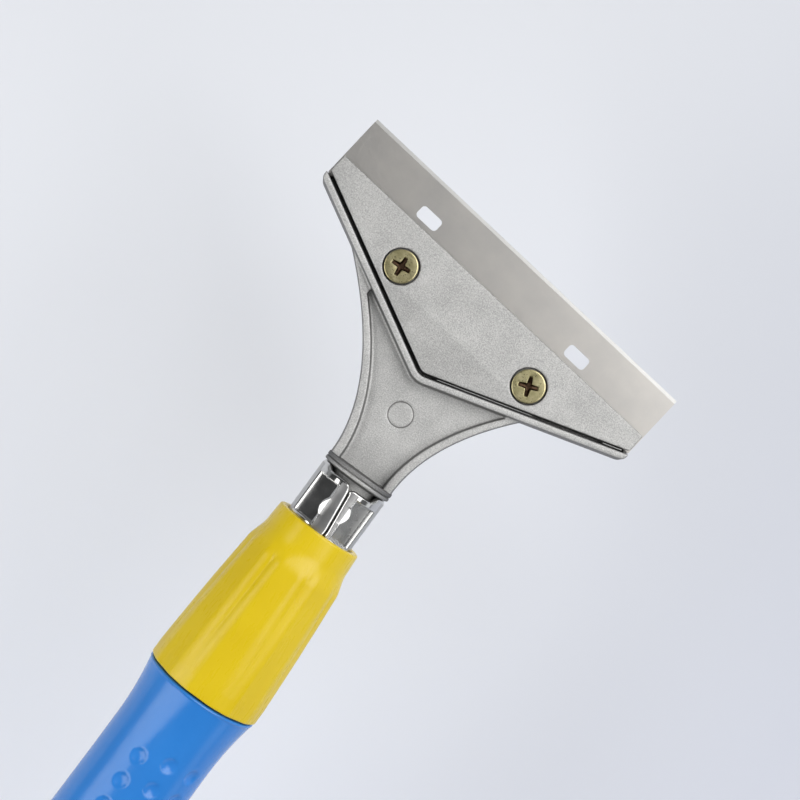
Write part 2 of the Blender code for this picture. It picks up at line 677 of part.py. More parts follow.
# Handle
def make_outer_tube(material):
    """A plain tube from the end cap's flange to the stop in the threaded sleeve."""
    foot = CAP_LENGTH + SEAT_GAP
    top = SLEEVE_STOP - SEAT_GAP
    tube = put("outer_tube", turned([
        (foot, OUTER_RADIUS), (top, OUTER_RADIUS), (top, OUTER_BORE), (foot, OUTER_BORE),
    ]), material)
    shade(tube)
    return tube


def grip_radius(down):
    """Outer radius of the grip at a distance below its mouth."""
    waist = GRIP_WAIST_DIAMETER / 2
    mouth = (GRIP_MOUTH_DIAMETER / 2 - waist) * max(1 - down / GRIP_MOUTH_REACH, 0.0) ** GRIP_MOUTH_POWER
    up = GRIP_LENGTH - down
    foot = (GRIP_FOOT_DIAMETER / 2 - waist) * max(1 - up / GRIP_FOOT_REACH, 0.0) ** 2
    span = GRIP_LENGTH - GRIP_MOUTH_REACH - GRIP_FOOT_REACH
    share = min(max((down - GRIP_MOUTH_REACH) / span, 0.0), 1.0)
    return waist + mouth + foot + GRIP_SWELL * math.sin(math.pi * share) ** 2


def make_grip(material):
    """A sleeve with a flared mouth, a palm swell and a flared foot."""
    bore = OUTER_RADIUS + SEAT_GAP
    foot = GRIP_TOP - GRIP_LENGTH
    downs = spread(GRIP_LENGTH - GRIP_EDGE, GRIP_LENGTH - GRIP_FOOT_REACH, 5)
    downs += spread(GRIP_LENGTH - GRIP_FOOT_REACH, GRIP_MOUTH_REACH, GRIP_STATIONS)[1:-1]
    downs += spread(GRIP_MOUTH_REACH, GRIP_MOUTH_RING, 8)
    profile = [(foot, grip_radius(GRIP_LENGTH) - GRIP_EDGE)]
    profile += [(GRIP_TOP - down, grip_radius(down)) for down in downs]
    profile += [(GRIP_TOP, grip_radius(0) - GRIP_EDGE), (GRIP_TOP, bore), (foot, bore)]
    grip = put("grip", turned(profile), material)
    shade(grip)
    return grip


def make_end_cap(material):
    """A plug in the outer tube, and a tapered end with a flat butt and a hanging hole."""
    plug = OUTER_BORE - SEAT_GAP
    big = CAP_DIAMETER / 2
    small = CAP_END_DIAMETER / 2
    profile = []
    for angle in spread(0, math.pi / 2, CAP_ROUND_STEPS):
        y = CAP_LENGTH * (1 - math.cos(angle)) * (1 - GRIP_EDGE / CAP_LENGTH)
        profile.append((y, small + (big - small) * math.sin(angle)))
    profile += [(CAP_LENGTH, big - GRIP_EDGE), (CAP_LENGTH, plug), (CAP_LENGTH + CAP_PLUG_LENGTH, plug)]
    cap = put("end_cap", turned(profile, loop=False), material)
    radius = HANG_HOLE_DIAMETER / 2
    cut(cap, cross_rod(radius, big + CUT_OVER, HANG_HOLE_FROM_END, 24))
    shade(cap)
    return cap


# Twist lock
def collar_radius(up):
    """Outer radius of the collar, in the middle of a petal, at a height over its foot."""
    lip = COLLAR_LIP_DIAMETER / 2
    lip_foot = lip + COLLAR_LIP_FLARE
    shoulder = COLLAR_SHOULDER_DIAMETER / 2
    foot = COLLAR_FOOT_DIAMETER / 2
    down = COLLAR_LENGTH - up
    cone_length = COLLAR_LENGTH - COLLAR_FOOT_LENGTH - COLLAR_LIP_LENGTH - COLLAR_SHOULDER_LENGTH
    if down <= COLLAR_LIP_LENGTH:
        return lip + COLLAR_LIP_FLARE * down / COLLAR_LIP_LENGTH
    if down <= COLLAR_LIP_LENGTH + COLLAR_SHOULDER_LENGTH:
        return lip_foot + (shoulder - lip_foot) * ease((down - COLLAR_LIP_LENGTH) / COLLAR_SHOULDER_LENGTH)
    share = min((down - COLLAR_LIP_LENGTH - COLLAR_SHOULDER_LENGTH) / cone_length, 1.0)
    return shoulder + (foot - shoulder) * share + COLLAR_BULGE * math.sin(math.pi * share)


def petal_rise(angle, up):
    """How far a petal's skin lies outside the round. It is flat in the middle, and dips at a crease."""
    away = abs((angle * PETAL_COUNT / (2 * math.pi) + 1 / 2) % 1 - 1 / 2)
    across = 2 * away
    flat = min(away * 2 * math.pi / PETAL_COUNT, PETAL_FLAT)
    top = COLLAR_LENGTH - PETAL_TOP - PETAL_ARCH * (1 - math.sqrt(max(1 - across * across, 0.0)))
    share = 1 - ease((up - top + PETAL_BLEND) / PETAL_BLEND)
    fade = CREASE_FADE_SHARE + (1 - CREASE_FADE_SHARE) * up / COLLAR_LENGTH
    return (collar_radius(up) * (1 / math.cos(flat) - 1) - CREASE_DEPTH * across ** 3 * fade) * share


def make_collar(material):
    """Fluted outside, and inside a mouth, a cone that squeezes the ring, a thread and a counterbore."""
    lip_foot = COLLAR_LENGTH - COLLAR_LIP_LENGTH
    petal_top = COLLAR_LENGTH - PETAL_TOP
    petal_side = petal_top - PETAL_ARCH - PETAL_BLEND
    ups = [COLLAR_EDGE] + spread(COLLAR_FOOT_LENGTH, petal_side, COLLAR_STATIONS)
    ups += spread(petal_side, petal_top, 5)[1:] + [lip_foot, COLLAR_LENGTH - COLLAR_EDGE]

    def petals(up, inset=0.0):
        return lambda angle: collar_radius(up) + petal_rise(angle, up) - inset

    rings = [ring(petals(0, COLLAR_EDGE), COLLAR_FOOT, COLLAR_SIDES)]
    rings += [ring(petals(up), COLLAR_FOOT + up, COLLAR_SIDES) for up in ups]
    rings.append(ring(petals(COLLAR_LENGTH, COLLAR_EDGE), COLLAR_TOP, COLLAR_SIDES))
    counter = SLEEVE_FLANGE_DIAMETER / 2 + THREAD_GAP
    cone_foot = RING_CONE_FOOT - COLLAR_FOOT
    inside = [(COLLAR_LENGTH, COLLAR_MOUTH), (COLLAR_LENGTH - COLLAR_MOUTH_LENGTH, COLLAR_MOUTH),
              (COLLAR_LENGTH - COLLAR_MOUTH_LENGTH, RING_TOP_DIAMETER / 2 + SEAT_GAP),
              (cone_foot, COLLAR_BORE), (COLLAR_COUNTERBORE, COLLAR_BORE), (COLLAR_COUNTERBORE, counter),
              (0, counter)]
    rings += [ring(radius, COLLAR_FOOT + up, COLLAR_SIDES) for up, radius in inside]
    collar = put("lock_collar", skin(rings, loop=True), material)
    shade(collar)
    return collar


def make_threaded_sleeve(material):
    """A sleeve on the outer tube's end: a flange on the grip, the thread, and a stop inside."""
    foot = GRIP_TOP + SEAT_GAP
    flange = SLEEVE_FLANGE_DIAMETER / 2
    sleeve = put("threaded_sleeve", turned([
        (foot, flange), (foot + SLEEVE_FLANGE_THICK, flange), (foot + SLEEVE_FLANGE_THICK, THREAD_RADIUS),
        (SLEEVE_TOP, THREAD_RADIUS), (SLEEVE_TOP, RING_BORE), (SLEEVE_STOP, RING_BORE),
        (SLEEVE_STOP, SLEEVE_BORE), (foot, SLEEVE_BORE),
    ]), material)
    shade(sleeve)
    return sleeve


def make_clamp_ring(material):
    """A tapered ring, slit along one side, between the sleeve's end and the collar's cone."""
    small = RING_TOP_DIAMETER / 2
    clamp = put("clamp_ring", turned([
        (RING_FOOT, THREAD_RADIUS), (RING_CONE_FOOT, THREAD_RADIUS), (RING_TOP, small),
        (RING_TOP, RING_BORE), (RING_FOOT, RING_BORE),
    ]), material)
    reach = THREAD_RADIUS + CUT_OVER
    slit = [(-RING_SLIT / 2, -reach), (RING_SLIT / 2, -reach), (RING_SLIT / 2, 0), (-RING_SLIT / 2, 0)]
    ends = (RING_FOOT - CUT_OVER, RING_TOP + CUT_OVER)
    cut(clamp, skin([[Vector((x, y, z)) for x, z in slit] for y in ends]))
    shade(clamp)
    return clamp


def main():
    """Build every piece in its place."""
    clear_scene()
    cast = finish("cast_aluminium", (0.45, 0.45, 0.44), 0.5, 0.9)
    steel = finish("blade_steel", (0.42, 0.40, 0.38), 0.3, 1.0)
    zinc = finish("yellow_zinc", (0.42, 0.38, 0.22), 0.3, 1.0)
    chrome = finish("bright_tube", (0.70, 0.70, 0.70), 0.12, 1.0)
    plain_steel = finish("plain_tube", (0.50, 0.50, 0.50), 0.35, 1.0)
    yellow = finish("yellow_plastic", (0.75, 0.56, 0.02), 0.35)
    blue = finish("blue_plastic", (0.03, 0.23, 0.70), 0.35)
    nylon = finish("natural_nylon", (0.75, 0.74, 0.68), 0.45)

    head = bpy.data.objects.new("head_axis", None)
    bpy.context.collection.objects.link(head)
    head.matrix_world = head_place()
    bpy.context.view_layer.update()

    make_casting(cast)
    make_blade(steel, head)
    make_plate(cast, head)
    make_screw("screw_left", -1, LEFT_CROSS_TURN, zinc, head)
    make_screw("screw_right", 1, RIGHT_CROSS_TURN, zinc, head)
    make_inner_tube(chrome)
    make_guide_bush(nylon)
    make_bush_rivet(plain_steel)
    make_outer_tube(plain_steel)
    make_grip(blue)
    make_end_cap(yellow)
    make_threaded_sleeve(nylon)
    make_clamp_ring(nylon)
    make_collar(yellow)


main()
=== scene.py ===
# %% [markdown]
# # An extendable scraper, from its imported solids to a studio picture
#
# The object is a wide blade scraper on a telescoping handle. A die-cast head clamps a thin
# steel blade under a plate with two screws. The head sits on a rolled steel tube, a yellow
# collar locks the tube, and a blue sleeve is the grip. This lesson loads the plain solids as a
# fixed frame, builds a finer piece over each one that shows, and gives every surface a
# procedural finish. All lengths are in metres, in the frame of the solids: +Y runs up the
# handle, +Z is the side that faces the camera.

from math import asin, atan2, cos, degrees, hypot, pi, radians, sin, sqrt, tan

import bmesh
import bpy
from mathutils import Matrix, Vector


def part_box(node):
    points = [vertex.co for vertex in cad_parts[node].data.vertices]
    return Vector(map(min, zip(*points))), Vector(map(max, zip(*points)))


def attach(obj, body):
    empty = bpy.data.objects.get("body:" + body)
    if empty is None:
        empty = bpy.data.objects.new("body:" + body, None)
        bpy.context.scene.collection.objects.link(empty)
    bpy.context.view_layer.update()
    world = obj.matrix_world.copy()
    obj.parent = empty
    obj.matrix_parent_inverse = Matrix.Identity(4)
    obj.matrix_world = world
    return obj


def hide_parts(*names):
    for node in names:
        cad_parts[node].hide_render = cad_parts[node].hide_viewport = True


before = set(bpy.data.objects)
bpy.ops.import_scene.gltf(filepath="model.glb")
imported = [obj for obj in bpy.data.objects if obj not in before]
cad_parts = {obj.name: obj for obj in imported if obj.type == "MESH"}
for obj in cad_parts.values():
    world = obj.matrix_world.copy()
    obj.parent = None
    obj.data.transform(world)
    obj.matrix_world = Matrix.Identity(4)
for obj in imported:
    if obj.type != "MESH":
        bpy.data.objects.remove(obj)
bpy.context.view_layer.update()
bpy.context.scene.view_settings.view_transform = "Standard"

# %% [markdown]
# ## Places that the solids give
#
# A fine piece has to stand exactly where its plain solid stands. So the places along the
# handle are read from the solids' boxes, and only the shapes are written down here. The head
# leans seven degrees, so it has a frame of its own: its origin is the point where the head's
# middle line crosses the handle axis.

# %% Places and the head's own frame
MM = 0.001
SEAT_GAP = 0.3 * MM
HEAD_LEAN = radians(7.0)
HEAD_REACH = 49.0 * MM
TUBE_END, TUBE_TOP = (corner.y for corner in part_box("inner_tube"))
COLLAR_FOOT, COLLAR_TOP = (corner.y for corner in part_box("lock_collar"))
GRIP_FOOT, GRIP_TOP = (corner.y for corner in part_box("grip"))
CAP_TOP = GRIP_FOOT - SEAT_GAP
FLANGE_BACK = TUBE_TOP + SEAT_GAP
FLANGE_THICK = 2.2 * MM
CROSSING = FLANGE_BACK + FLANGE_THICK + HEAD_REACH
HEAD_PLACE = Matrix.Translation((0, CROSSING, 0)) @ Matrix.Rotation(-HEAD_LEAN, 4, "Z")
PLATE_BOTTOM = 1.1 * MM
SCREW_UNDER = PLATE_BOTTOM + 1.5 * MM
SCREW_TOP = SCREW_UNDER + 1.45 * MM
print("tube", round(TUBE_END, 4), "to", round(TUBE_TOP, 4), "crossing", round(CROSSING, 4))

# %% [markdown]
# ## The camera
#
# The photograph looks straight down on the flat side of the tool, from close by, so the near
# parts look a little larger. The blade's corners, the flange and the handle's edges give the
# camera's place, its turn about the vertical and its focal length.

# %% Camera over the head
FOCAL_LENGTH, SENSOR_WIDTH = 69.3, 36
CAMERA_PLACE = (-0.00282, 0.2851, 0.375)
CAMERA_TURN = radians(36.3)
camera = bpy.data.objects.new("studio_camera", bpy.data.cameras.new("studio_camera"))
bpy.context.scene.collection.objects.link(camera)
bpy.context.scene.camera = camera
camera.data.lens = FOCAL_LENGTH
camera.data.sensor_width = SENSOR_WIDTH
camera.data.clip_start = 0.01
camera.location = CAMERA_PLACE
camera.rotation_euler = (0, 0, CAMERA_TURN)
print("camera", [round(x, 4) for x in camera.location], camera.data.lens)

# %% [markdown]
# ## A little language for materials
#
# A procedural material is a graph of nodes. A few helpers keep the graphs readable: one adds
# a node and plugs values or other nodes' outputs into it, one starts a finish with its plain
# numbers on the shader's own sockets, and the rest are short words for noise, colour and
# bump. Noise is placed in object coordinates, so it stays on a piece when the piece moves.

# %% Node helpers
def add(tree, kind, inputs=None, **settings):
    """Add a node, set its options, and fill its inputs with values or with sockets."""
    made = tree.nodes.new("ShaderNode" + kind)
    for name, value in settings.items():
        setattr(made, name, value)
    for name, value in (inputs or {}).items():
        if isinstance(value, bpy.types.NodeSocket):
            tree.links.new(value, made.inputs[name])
        else:
            made.inputs[name].default_value = value
    return made


def new_finish(name, **sockets):
    """A Principled material with fixed numbers on its sockets."""
    material = bpy.data.materials.new(name)
    material.use_nodes = True
    tree = material.node_tree
    shader = tree.nodes["Principled BSDF"]
    for socket, value in sockets.items():
        shader.inputs[socket.replace("_", " ")].default_value = value
    return material, tree, shader


def wear(tree, shader, colour, roughness, normal):
    """Plug a finish's colour, roughness and normal into its shader."""
    for name, socket in (("Base Color", colour), ("Roughness", roughness), ("Normal", normal)):
        tree.links.new(socket, shader.inputs[name])


def place(tree, stretch=(1, 1, 1), turn=0.0):
    """Object coordinates, turned about Z and stretched."""
    coords = add(tree, "TexCoord").outputs["Object"]
    mapping = add(tree, "Mapping", {"Vector": coords, "Rotation": (0, 0, turn), "Scale": stretch},
                  vector_type="TEXTURE")
    return mapping.outputs[0]


def parts_of(tree, kind):
    """The three parts of a coordinate: Object, Normal or Generated."""
    return add(tree, "SeparateXYZ", {0: add(tree, "TexCoord").outputs[kind]}).outputs


def maths(tree, operation, *values):
    """One sum on values or sockets."""
    return add(tree, "Math", dict(enumerate(values)), operation=operation).outputs[0]


def noise(tree, where, size, detail=2.0, roughness=0.5):
    """Soft noise whose blotches are about one size across."""
    made = add(tree, "TexNoise", {"Vector": where, "Scale": 1 / size, "Detail": detail,
                                  "Roughness": roughness})
    return made.outputs[0]


def between(tree, value, low, high, first=0.3, last=0.7):
    """Bring a value from first to last into a range from low to high."""
    made = add(tree, "MapRange", {"Value": value, "From Min": first, "From Max": last,
                                  "To Min": low, "To Max": high})
    return made.outputs[0]


def tint(tree, factor, dark, light):
    """Mix two colours by a factor. Each is three numbers or another node's output."""
    ends = [end if isinstance(end, bpy.types.NodeSocket) else (*end, 1) for end in (dark, light)]
    return add(tree, "Mix", {0: factor, 6: ends[0], 7: ends[1]}, data_type="RGBA").outputs[2]


def bump(tree, height, distance, strength=1.0, below=None):
    """Turn a height into a bumped normal, on top of another bump if one is given."""
    inputs = {"Height": height, "Distance": distance, "Strength": strength}
    if below is not None:
        inputs["Normal"] = below
    return add(tree, "Bump", inputs).outputs[0]


print("node helpers ready")

# %% [markdown]
# ## Cast metal
#
# The head and the plate are die-cast, then tumbled, so they have a dense dull grain with tiny
# bright specks, and faint cloudy patches. It could be a plain grey with noise in its colour,
# but real grain is a surface of many small facets. So the specks come from bump and roughness
# as well as from colour, at under half a millimetre. Upright faces are painted darker, a
# painted shade for the dark room that they face. One recipe makes three greys: for the plate,
# for the casting with its pin mark, and a darker one that paints shade on the flange's bead.

# %% Cast metal finish
MARK = Vector((-0.56 * MM, CROSSING - 32.1 * MM, 0))
MARK_RADIUS = 3.15 * MM
# dark grey painted on the mark's line: a painted shade of its groove
MARK_SHADE_COLOUR = (0.2, 0.195, 0.19)


def pin_mark(tree):
    """One on the thin circle that an ejector pin leaves in the pocket's floor, else zero."""
    coords = add(tree, "TexCoord").outputs["Object"]
    offset = add(tree, "VectorMath", {0: coords, 1: MARK}, operation="SUBTRACT").outputs[0]
    flat = add(tree, "VectorMath", {0: offset, 1: (1, 1, 0)}, operation="MULTIPLY").outputs[0]
    away = add(tree, "VectorMath", {0: flat}, operation="LENGTH").outputs["Value"]
    off_line = maths(tree, "ABSOLUTE", maths(tree, "SUBTRACT", away, MARK_RADIUS))
    line = between(tree, off_line, 1, 0, 0.06 * MM, 0.2 * MM)
    on_top = between(tree, parts_of(tree, "Object")[2], 0, 1, -1 * MM, -0.5 * MM)
    return maths(tree, "MULTIPLY", line, on_top)


def make_cast_metal(name, marked, dark, light):
    """Grainy grey with painted shade on upright faces, with or without the pin's mark."""
    material, tree, shader = new_finish(name, Metallic=0.55, Roughness=0.5)
    where = place(tree)
    grain = noise(tree, where, 0.32 * MM, 3.0, 0.75)
    clouds = noise(tree, where, 8 * MM, 3.0)
    shade = maths(tree, "ADD", between(tree, grain, -0.8, 0.8), between(tree, clouds, 0.3, 0.7))
    # painted shade: upright faces take half the dark grey, for the dark room that they face
    free_of_painted_shade = between(tree, maths(tree, "ABSOLUTE", parts_of(tree, "Normal")[2]), 0, 1, 0.3, 0.85)
    colour = tint(tree, free_of_painted_shade, [c / 2 for c in dark], tint(tree, shade, dark, light))
    normal = bump(tree, grain, 0.09 * MM, 0.8)
    if marked:
        line = pin_mark(tree)
        colour = tint(tree, line, colour, MARK_SHADE_COLOUR)
        normal = bump(tree, maths(tree, "SUBTRACT", 1.0, line), 0.12 * MM, 0.8, normal)
    wear(tree, shader, colour, between(tree, grain, 0.48, 0.64), normal)
    return material


CAST = make_cast_metal("cast_metal", False, (0.32, 0.317, 0.31), (0.54, 0.535, 0.52))
CAST_HEAD = make_cast_metal("cast_metal_head", True, (0.37, 0.367, 0.36), (0.62, 0.615, 0.60))
# a darker copy of the cast grey: painted shade for the flange's front bead
CAST_PAINTED_SHADE = make_cast_metal("cast_metal_painted_shade", False, (0.17, 0.168, 0.165), (0.32, 0.317, 0.31))
print("made", CAST.name, CAST_HEAD.name, CAST_PAINTED_SHADE.name)

# %% [markdown]
# ## Blade steel
#
# The blade is rolled strip, ground on its faces, so it is a satin mirror with faint warm
# clouds and short fine scratches along its length. Its edge is ground again at a slant, and
# that face is greyer and rougher. Two materials share one recipe with other numbers.

# %% Blade finishes
def make_steel(name, dark, light, roughness, scratch):
    """Satin steel with slow clouds and scratches that run along the blade."""
    material, tree, shader = new_finish(name, Metallic=1.0, Roughness=roughness)
    lines = noise(tree, place(tree, (scratch, 1, 1), HEAD_LEAN), 0.25 * MM, 3.0, 0.6)
    clouds = noise(tree, place(tree), 14 * MM, 4.0, 0.6)
    wear(tree, shader, tint(tree, between(tree, clouds, 0, 1), dark, light),
         between(tree, lines, roughness - 0.05, roughness + 0.07), bump(tree, lines, 0.008 * MM, 0.3))
    return material


BLADE = make_steel("blade_satin", (0.57, 0.55, 0.525), (0.66, 0.63, 0.59), 0.33, 2)
GRIND = make_steel("blade_ground_edge", (0.48, 0.475, 0.46), (0.53, 0.525, 0.51), 0.45, 2)
print("made", BLADE.name, GRIND.name)

# %% [markdown]
# ## Zinc on the screws, bright plate on the tube
#
# The screws have a passivated zinc coat, an olive gold with browner blotches, and painted
# shade that darkens the cross with depth. The tube is rolled sheet with a bright plate: a clean
# mirror with a very slight ripple from rolling. Use has rubbed its round outside dull, and the
# floor of its right panel is satin.

# %% Screw and tube finishes
PLATE_GREYS = (0.56, 0.555, 0.54), (0.64, 0.635, 0.62)
RUBBED_GREYS = (0.42, 0.415, 0.41), (0.50, 0.495, 0.49)


def make_zinc():
    """Olive gold with browner blotches, with painted shade where the cross is deep."""
    material, tree, shader = new_finish("yellow_zinc_coat", Metallic=1.0, Roughness=0.3)
    where = place(tree)
    blotch = noise(tree, where, 2.2 * MM, 4.0, 0.65)
    fine = noise(tree, where, 0.4 * MM, 2.0)
    gold = tint(tree, between(tree, blotch, 0, 1), (0.36, 0.32, 0.16), (0.60, 0.54, 0.32))
    # painted shade: the colour darkens with depth in the cross
    deep = between(tree, parts_of(tree, "Object")[2], 1, 0, SCREW_TOP - 0.45 * MM, SCREW_TOP - 0.12 * MM)
    wear(tree, shader, tint(tree, deep, gold, (0.07, 0.042, 0.026)), between(tree, fine, 0.26, 0.42),
         bump(tree, fine, 0.02 * MM, 0.5))
    return material


def make_bright_plate(name, dark, light, low, high, ripple):
    """Plated sheet. Low and high are its roughness, ripple the height of the rolling waves."""
    material, tree, shader = new_finish(name, Metallic=1.0, Roughness=low)
    waves = noise(tree, place(tree, (1, 6, 1)), 2.5 * MM, 1.0)
    smear = noise(tree, place(tree), 5 * MM, 3.0)
    wear(tree, shader, tint(tree, between(tree, smear, 0, 1), dark, light),
         between(tree, smear, low, high), bump(tree, waves, ripple, 0.2))
    return material


ZINC = make_zinc()
BRIGHT = make_bright_plate("bright_plate", *PLATE_GREYS, 0.08, 0.17, 0.02 * MM)
RUBBED = make_bright_plate("rubbed_plate", *RUBBED_GREYS, 0.28, 0.4, 0.05 * MM)
SATIN = make_bright_plate("satin_plate", *PLATE_GREYS, 0.24, 0.3, 0.02 * MM)
print("made", ZINC.name, BRIGHT.name, RUBBED.name, SATIN.name)

# %% [markdown]
# ## Moulded plastics
#
# The collar and the end cap are a glossy yellow plastic, the grip is a softer blue one. Both
# show a fine orange-peel skin from the mould, faint handling marks in the gloss and a slow
# change of tone. The same recipe, rougher and paler, gives the nylon of the inner pieces.

# %% Plastic finishes
def make_plastic(name, dark, light, roughness, peel, **sockets):
    """Moulded plastic with a fine skin of one peel's size."""
    material, tree, shader = new_finish(name, Roughness=roughness, **sockets)
    where = place(tree)
    skin_noise = noise(tree, where, peel, 2.0)
    tone = noise(tree, where, 16 * MM, 3.0)
    marks = noise(tree, place(tree, (1, 5, 1)), 1.4 * MM, 4.0, 0.6)
    wear(tree, shader, tint(tree, between(tree, tone, 0, 1), dark, light),
         between(tree, marks, roughness - 0.04, roughness + 0.06), bump(tree, skin_noise, 0.03 * MM, 0.35))
    return material


YELLOW = make_plastic("yellow_plastic", (0.665, 0.475, 0.006), (0.72, 0.53, 0.010), 0.28, 0.7 * MM,
                      Specular_IOR_Level=0.4)
BLUE = make_plastic("blue_plastic", (0.024, 0.195, 0.60), (0.029, 0.215, 0.64), 0.2, 0.5 * MM)
NYLON = make_plastic("natural_nylon", (0.68, 0.67, 0.60), (0.76, 0.75, 0.70), 0.45, 0.6 * MM)
STEEL_TUBE = make_steel("plain_tube_steel", (0.45, 0.45, 0.45), (0.56, 0.56, 0.55), 0.34, 1)
print("made", YELLOW.name, BLUE.name, NYLON.name, STEEL_TUBE.name)

# %% [markdown]
# ## Mesh helpers
#
# Most pieces are either a loft, a run of rings of points that are joined into a skin, or a
# prism, which has only two. Cutting one solid out of another is an exact Boolean.

# %% Skins, rings and Booleans
def spread(first, last, count):
    """Evenly spaced values from first to last."""
    return [first + (last - first) * i / (count - 1) for i in range(count)]


def turns(sides):
    """The angles of evenly spaced points on a circle."""
    return [2 * pi * i / sides for i in range(sides)]


def ease(share):
    """Smooth step from 0 to 1."""
    share = min(max(share, 0.0), 1.0)
    return share * share * (3 - 2 * share)


def quarter_round(radius, steps):
    """Points of a round edge: how far each lies in from the end and in from the side."""
    return [(radius * (1 - sin(a)), radius * (1 - cos(a)))
            for a in spread(0, pi / 2, steps)]


def skin(rings, loop=False):
    """Join rings of points: a closed loop of rings, or a run with both ends capped."""
    bm = bmesh.new()
    made = [[bm.verts.new(point) for point in ring] for ring in rings]
    pairs = list(zip(made, made[1:])) + ([(made[-1], made[0])] if loop else [])
    for low, high in pairs:
        for i, a in enumerate(low):
            j = (i + 1) % len(low)
            bm.faces.new((a, low[j], high[j], high[i]))
    if not loop:
        bm.faces.new(made[0])
        bm.faces.new(made[-1])
    return bm


def prism(outline, low, high):
    """An outline of (x, y) carried up from one height to another."""
    return skin([[Vector((x, y, z)) for x, y in outline] for z in (low, high)])


def beam(section, reach):
    """A section of (y, z) carried across by the same reach to both sides."""
    return skin([[Vector((x, y, z)) for y, z in section] for x in (-reach, reach)])


def ring(radius, at, sides, upright=False):
    """A circle round the handle axis, or an upright one. The radius may follow the angle."""
    points = []
    for angle in turns(sides):
        reach = radius(angle) if callable(radius) else radius
        a, b = reach * sin(angle), reach * cos(angle)
        points.append(Vector((b, a, at) if upright else (a, at, b)))
    return points


def put(name, bm, *materials):
    """Turn a bmesh into an object with its normals outward."""
    bmesh.ops.recalc_face_normals(bm, faces=bm.faces)
    mesh = bpy.data.meshes.new(name)
    bm.to_mesh(mesh)
    bm.free()
    for material in materials:
        mesh.materials.append(material)
    piece = bpy.data.objects.new(name, mesh)
    bpy.context.scene.collection.objects.link(piece)
    return piece


def settle(piece):
    """Apply all modifiers of a piece."""
    bpy.context.view_layer.update()
    shaped = piece.evaluated_get(bpy.context.evaluated_depsgraph_get())
    done = bpy.data.meshes.new_from_object(shaped)
    piece.modifiers.clear()
    old = piece.data
    piece.data = done
    bpy.data.meshes.remove(old)


def combine(piece, bm, operation="DIFFERENCE"):
    """Cut a shape out of a piece, or fuse it on."""
    tool = put(piece.name + "_tool", bm, piece.data.materials[0])
    step = piece.modifiers.new(operation.lower(), "BOOLEAN")
    step.operation = operation
    step.solver = "EXACT"
    step.object = tool
    settle(piece)
    bpy.data.objects.remove(tool, do_unlink=True)


def in_head(bm):
    """Move a shape from the head's frame to the handle's frame."""
    bmesh.ops.transform(bm, matrix=HEAD_PLACE, verts=bm.verts)
    return bm


print("mesh helpers ready")

# %% [markdown]
# ## Soft edges and the last step
#
# Nothing that is cast or pressed has a truly sharp edge. A bevel on a mesh full of small
# Boolean faces often fails, so the cast pieces are remeshed instead: a fine voxel grid, a few
# rounds of smoothing, and then fewer faces where the surface is flat. Every finished piece
# then goes through the same last step: shading, body and replaced solid.

# %% Remesh, smooth and finish
def soften(piece, voxel, rounds, keep):
    """Remesh a solid, smooth its edges and thin out its flat parts."""
    step = piece.modifiers.new("remesh", "REMESH")
    step.mode = "VOXEL"
    step.voxel_size = voxel
    step = piece.modifiers.new("smooth", "SMOOTH")
    step.factor = 0.5
    step.iterations = rounds
    step = piece.modifiers.new("thin", "DECIMATE")
    step.ratio = keep
    materials = list(piece.data.materials)
    settle(piece)
    piece.data.materials.clear()
    for material in materials:
        piece.data.materials.append(material)


def dress(piece, body, node, sharp):
    """Shade a finished piece, let it ride on its body and stand for its plain solid."""
    piece.data.shade_smooth()
    if sharp:
        piece.data.set_sharp_from_angle(angle=radians(sharp))
    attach(piece, body)
    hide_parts(node)
    print(piece.name, len(piece.data.polygons), "faces on", body)


print("finishing helpers ready")

# %% [markdown]
# ## Outline of the head
#
# Seen from the front, the clamp plate is a flat vee: straight along the blade, and two long
# sides that meet in a rounded point at the back. The rib of the casting runs round the same
# vee at a small distance. One function gives the line at any distance, so plate, gap and
# rib stay parallel.

# %% The vee line and bodies made from it
EDGE_AHEAD = 16.5 * MM
PLATE_WIDTH = 99.2 * MM
PLATE_FRONT = EDGE_AHEAD - 12.0 * MM
PLATE_SIDE = EDGE_AHEAD - 16.9 * MM
PLATE_APEX = EDGE_AHEAD - 37.4 * MM
APEX_ROUND = 3.0 * MM
VEE_ANGLE = atan2(PLATE_SIDE - PLATE_APEX, PLATE_WIDTH / 2)
VEE_COS, VEE_TAN = cos(VEE_ANGLE), tan(VEE_ANGLE)


def vee_edge(offset, x):
    """Where the straight right side of the vee lies, at a distance from the middle."""
    return PLATE_APEX - offset / VEE_COS + x * VEE_TAN


def vee_line(offset, side, corner=0.0):
    """The vee behind the plate, pushed out by an offset, from one side to the other."""
    radius = APEX_ROUND + offset
    middle = PLATE_APEX + APEX_ROUND / VEE_COS
    end = vee_edge(offset, side)
    turn = [(side, end)]
    if corner:
        run_x, run_y = corner * VEE_COS, corner * sin(VEE_ANGLE)
        turn = [(side - run_x * t * t, end + corner * (1 - t) ** 2 - run_y * t * t)
                for t in spread(0, 1, 8)]
    arc = [(radius * sin(a), middle - radius * cos(a))
           for a in spread(VEE_ANGLE, -VEE_ANGLE, 15)]
    return turn + arc + [(-x, y) for x, y in reversed(turn)]


def vee_body(levels, front, corner=0.0):
    """A vee block built up from levels of (height, offset, side)."""
    rings = []
    for z, offset, side in levels:
        outline = [(-side, front), (side, front)] + vee_line(offset, side, corner)
        rings.append([Vector((x, y, z)) for x, y in outline])
    return skin(rings)


print("vee angle", round(degrees(VEE_ANGLE), 1))

# %% [markdown]
# ## The casting's web
#
# Behind the vee the casting narrows in two sweeping curves to the neck. It is a tray: a flat
# pocket with a rim along each side, and the rims grow taller towards the neck. A loft of
# cross sections gives exactly this, because each section may have its own width and heights.

# %% Web of the casting
NECK_REACH = 48.5 * MM
NECK_HALF = 9.15 * MM
WEB_FLARE, FLARE_RUN, FLARE_POWER = 22.3 * MM, 39.5 * MM, 1.9
WEB_START = 4.0 * MM
WEB_END = CROSSING - FLANGE_BACK - FLANGE_THICK / 2


